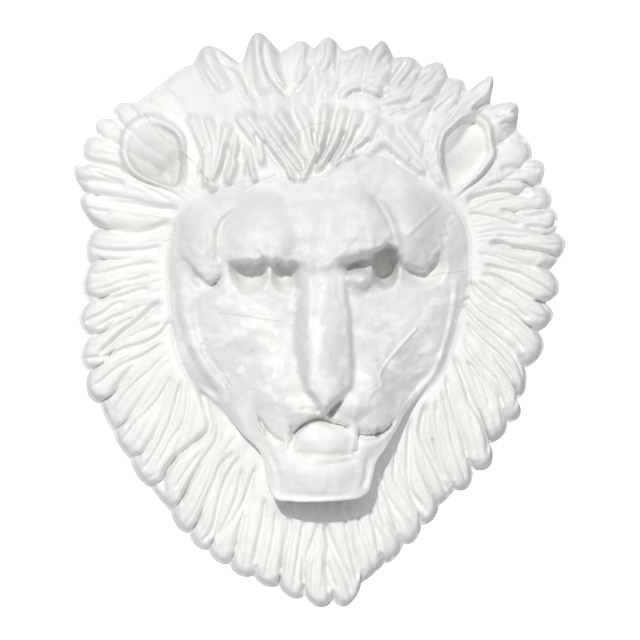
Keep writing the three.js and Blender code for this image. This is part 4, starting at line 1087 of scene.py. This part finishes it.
def white_paint():
    """Thick brushed white: bright on the mane, greyer and patchy on the face, with painted shade where it is
    hollow.
    """
    material = bpy.data.materials.new("white paint")
    material.use_nodes = True
    shader = material.node_tree.nodes["Principled BSDF"]
    tree = Tree(material.node_tree)
    place = tree.add("TexCoord").outputs["Object"]
    grey_paint_and_shade = tree.told("grey_paint_and_shade").outputs["Fac"]
    hollow_shade = tree.told("hollow_shade").outputs["Fac"]
    flow = tree.told("flow").outputs["Vector"]

    patches = tree.noise(place, 9.0, 3.0)
    blotches = tree.noise(place, 26.0, 3.0, (0.8, 1.0, 1.2))
    mottle = tree.noise(place, 60.0, 3.0, (1.0, 1.0, 0.7))
    bristles = tree.noise(flow, 1.0, 3.0, (3.2, 0.45, 1.0))
    facets = tree.noise(place, 24.0, 1.0)
    dabs = tree.noise(place, 90.0, 2.0, (1.0, 0.5, 0.8))

    spread = tree.add("SeparateXYZ", {"Vector": place})
    lower_down = tree.between(spread.outputs["Z"], 0.04, 0.13, 0.8, 0.25)
    on_the_front = tree.between(spread.outputs["Y"], -0.003, -0.008, 0.0, 0.5)
    bright = tree.mixed(tree.between(patches, 0.35, 0.65), *MANE_WHITES)
    greyer = tree.mixed(tree.between(patches, 0.35, 0.62), *GREYER_WHITES)
    thick = tree.times(tree.between(blotches, 0.52, 0.6), lower_down)
    # Greyer paint on the face and crown, and painted shade in the ears' cups
    colour = tree.mixed(grey_paint_and_shade, bright, tree.mixed(thick, greyer, THICK_WHITE))
    colour = tree.mixed(tree.times(tree.between(bristles, 0.42, 0.3), 0.12), colour, BRISTLE_GREY)
    # Painted shade: the hollows, the step under the chin and jaw, and the ears' cups are greyed, a little
    # patchy
    painted_shade = tree.times(hollow_shade, tree.between(mottle, 0.3, 0.6, 0.08, 0.18))
    colour = tree.mixed(painted_shade, colour, SHADE_GREY)
    cracks = tree.times(crack_mask(tree, place), on_the_front)
    tree.feed(tree.mixed(cracks, colour, CRACK_GREY), shader, "Base Color")

    worn = tree.total(tree.between(bristles, 0.3, 0.7, 0.42, 0.56), tree.times(hollow_shade, 0.15))
    tree.feed(worn, shader, "Roughness")
    shader.inputs["Specular IOR Level"].default_value = 0.5

    dab_edges = tree.total(tree.between(blotches, 0.53, 0.56), tree.between(blotches, 0.43, 0.45))
    relief = tree.total(
        tree.times(facets, 2.2),
        tree.times(dabs, 0.7),
        tree.times(bristles, tree.between(grey_paint_and_shade, 0.0, 1.0, 0.6, 0.12)),
        tree.times(dab_edges, 0.16),
        tree.times(mottle, 0.35),
    )
    bump = tree.add("Bump", {"Strength": 0.55, "Distance": 0.0022, "Height": relief})
    tree.feed(bump.outputs["Normal"], shader, "Normal")
    return material


# Stage, light and camera

FLOOR_SIZE = 7
FLOOR_HEIGHT = -2.4
BACKDROP_SIZE = 60
BACKDROP_DISTANCE = 14

# One low sun from the upper left in front, and a weak even light from everywhere
LIGHT_FROM_LEFT = math.radians(10)
LIGHT_FROM_ABOVE = math.radians(23)
LIGHT_WIDTH = math.radians(1.5)
LIGHT_STRENGTH = 2.1
ROOM_LIGHT_STRENGTH = 0.425

# The photograph is 640 pixels high, and the head in it 575; its outline lies a little before the wall
PHOTO_PIXELS = 640
HEAD_PIXELS = 575
OUTLINE_DEPTH = 0.03
CAMERA_DISTANCE = 7.0
SENSOR_WIDTH = 36


def sheet(name, size, centre, turn, material):
    bm = bmesh.new()
    bmesh.ops.create_grid(bm, x_segments=1, y_segments=1, size=size / 2)
    bmesh.ops.rotate(bm, verts=bm.verts, matrix=turn)
    bmesh.ops.translate(bm, verts=bm.verts, vec=centre)
    mesh = bpy.data.meshes.new(name)
    bm.to_mesh(mesh)
    bm.free()
    plane = bpy.data.objects.new(name, mesh)
    bpy.context.scene.collection.objects.link(plane)
    mesh.materials.append(material)
    return plane


def stage_material(name, colour, glow):
    material = bpy.data.materials.new(name)
    material.use_nodes = True
    shader = material.node_tree.nodes["Principled BSDF"]
    shader.inputs["Base Color"].default_value = (*colour, 1)
    shader.inputs["Roughness"].default_value = 0.9
    shader.inputs["Emission Color"].default_value = (1, 1, 1, 1)
    shader.inputs["Emission Strength"].default_value = glow
    return material


def build_stage():
    """A pale floor, and a bright backdrop that lights nothing."""
    floor_material = stage_material("pale floor", (0.85, 0.85, 0.84), 0.0)
    sheet("floor", FLOOR_SIZE, (0, 0, FLOOR_HEIGHT), Matrix.Identity(3), floor_material)
    backdrop_material = stage_material("pale backdrop", (0.9, 0.9, 0.9), 1.0)
    upright = Matrix.Rotation(math.radians(90), 3, "X")
    backdrop = sheet("backdrop", BACKDROP_SIZE, (0, BACKDROP_DISTANCE, 0), upright, backdrop_material)
    backdrop.visible_diffuse = False
    backdrop.visible_glossy = False


def build_light():
    sun = bpy.data.lights.new("window light", "SUN")
    sun.energy = LIGHT_STRENGTH
    sun.angle = LIGHT_WIDTH
    sun.color = (1.0, 0.985, 0.96)
    lamp = bpy.data.objects.new("window light", sun)
    toward = Vector((
        -math.sin(LIGHT_FROM_LEFT) * math.cos(LIGHT_FROM_ABOVE),
        -math.cos(LIGHT_FROM_LEFT) * math.cos(LIGHT_FROM_ABOVE),
        math.sin(LIGHT_FROM_ABOVE),
    ))
    lamp.rotation_euler = toward.to_track_quat("Z", "Y").to_euler()
    bpy.context.scene.collection.objects.link(lamp)
    world = bpy.data.worlds.new("soft room light")
    world.use_nodes = True
    world.node_tree.nodes["Background"].inputs["Color"].default_value = (0.95, 0.97, 1.0, 1)
    world.node_tree.nodes["Background"].inputs["Strength"].default_value = ROOM_LIGHT_STRENGTH
    bpy.context.scene.world = world
    bpy.context.scene.view_settings.view_transform = "Standard"


def build_camera():
    picture_height = PHOTO_PIXELS / HEAD_PIXELS * HEAD_HEIGHT
    camera = bpy.data.cameras.new("camera")
    camera.sensor_width = SENSOR_WIDTH
    camera.lens = SENSOR_WIDTH * (CAMERA_DISTANCE - OUTLINE_DEPTH) / picture_height
    camera.clip_end = 50
    stand = bpy.data.objects.new("camera", camera)
    stand.location = (0.0, -CAMERA_DISTANCE, 0.0)
    stand.rotation_euler = (math.radians(90), 0, 0)
    bpy.context.scene.collection.objects.link(stand)
    bpy.context.scene.camera = stand


build_stage()
build_light()
build_camera()
carve_head(white_paint())
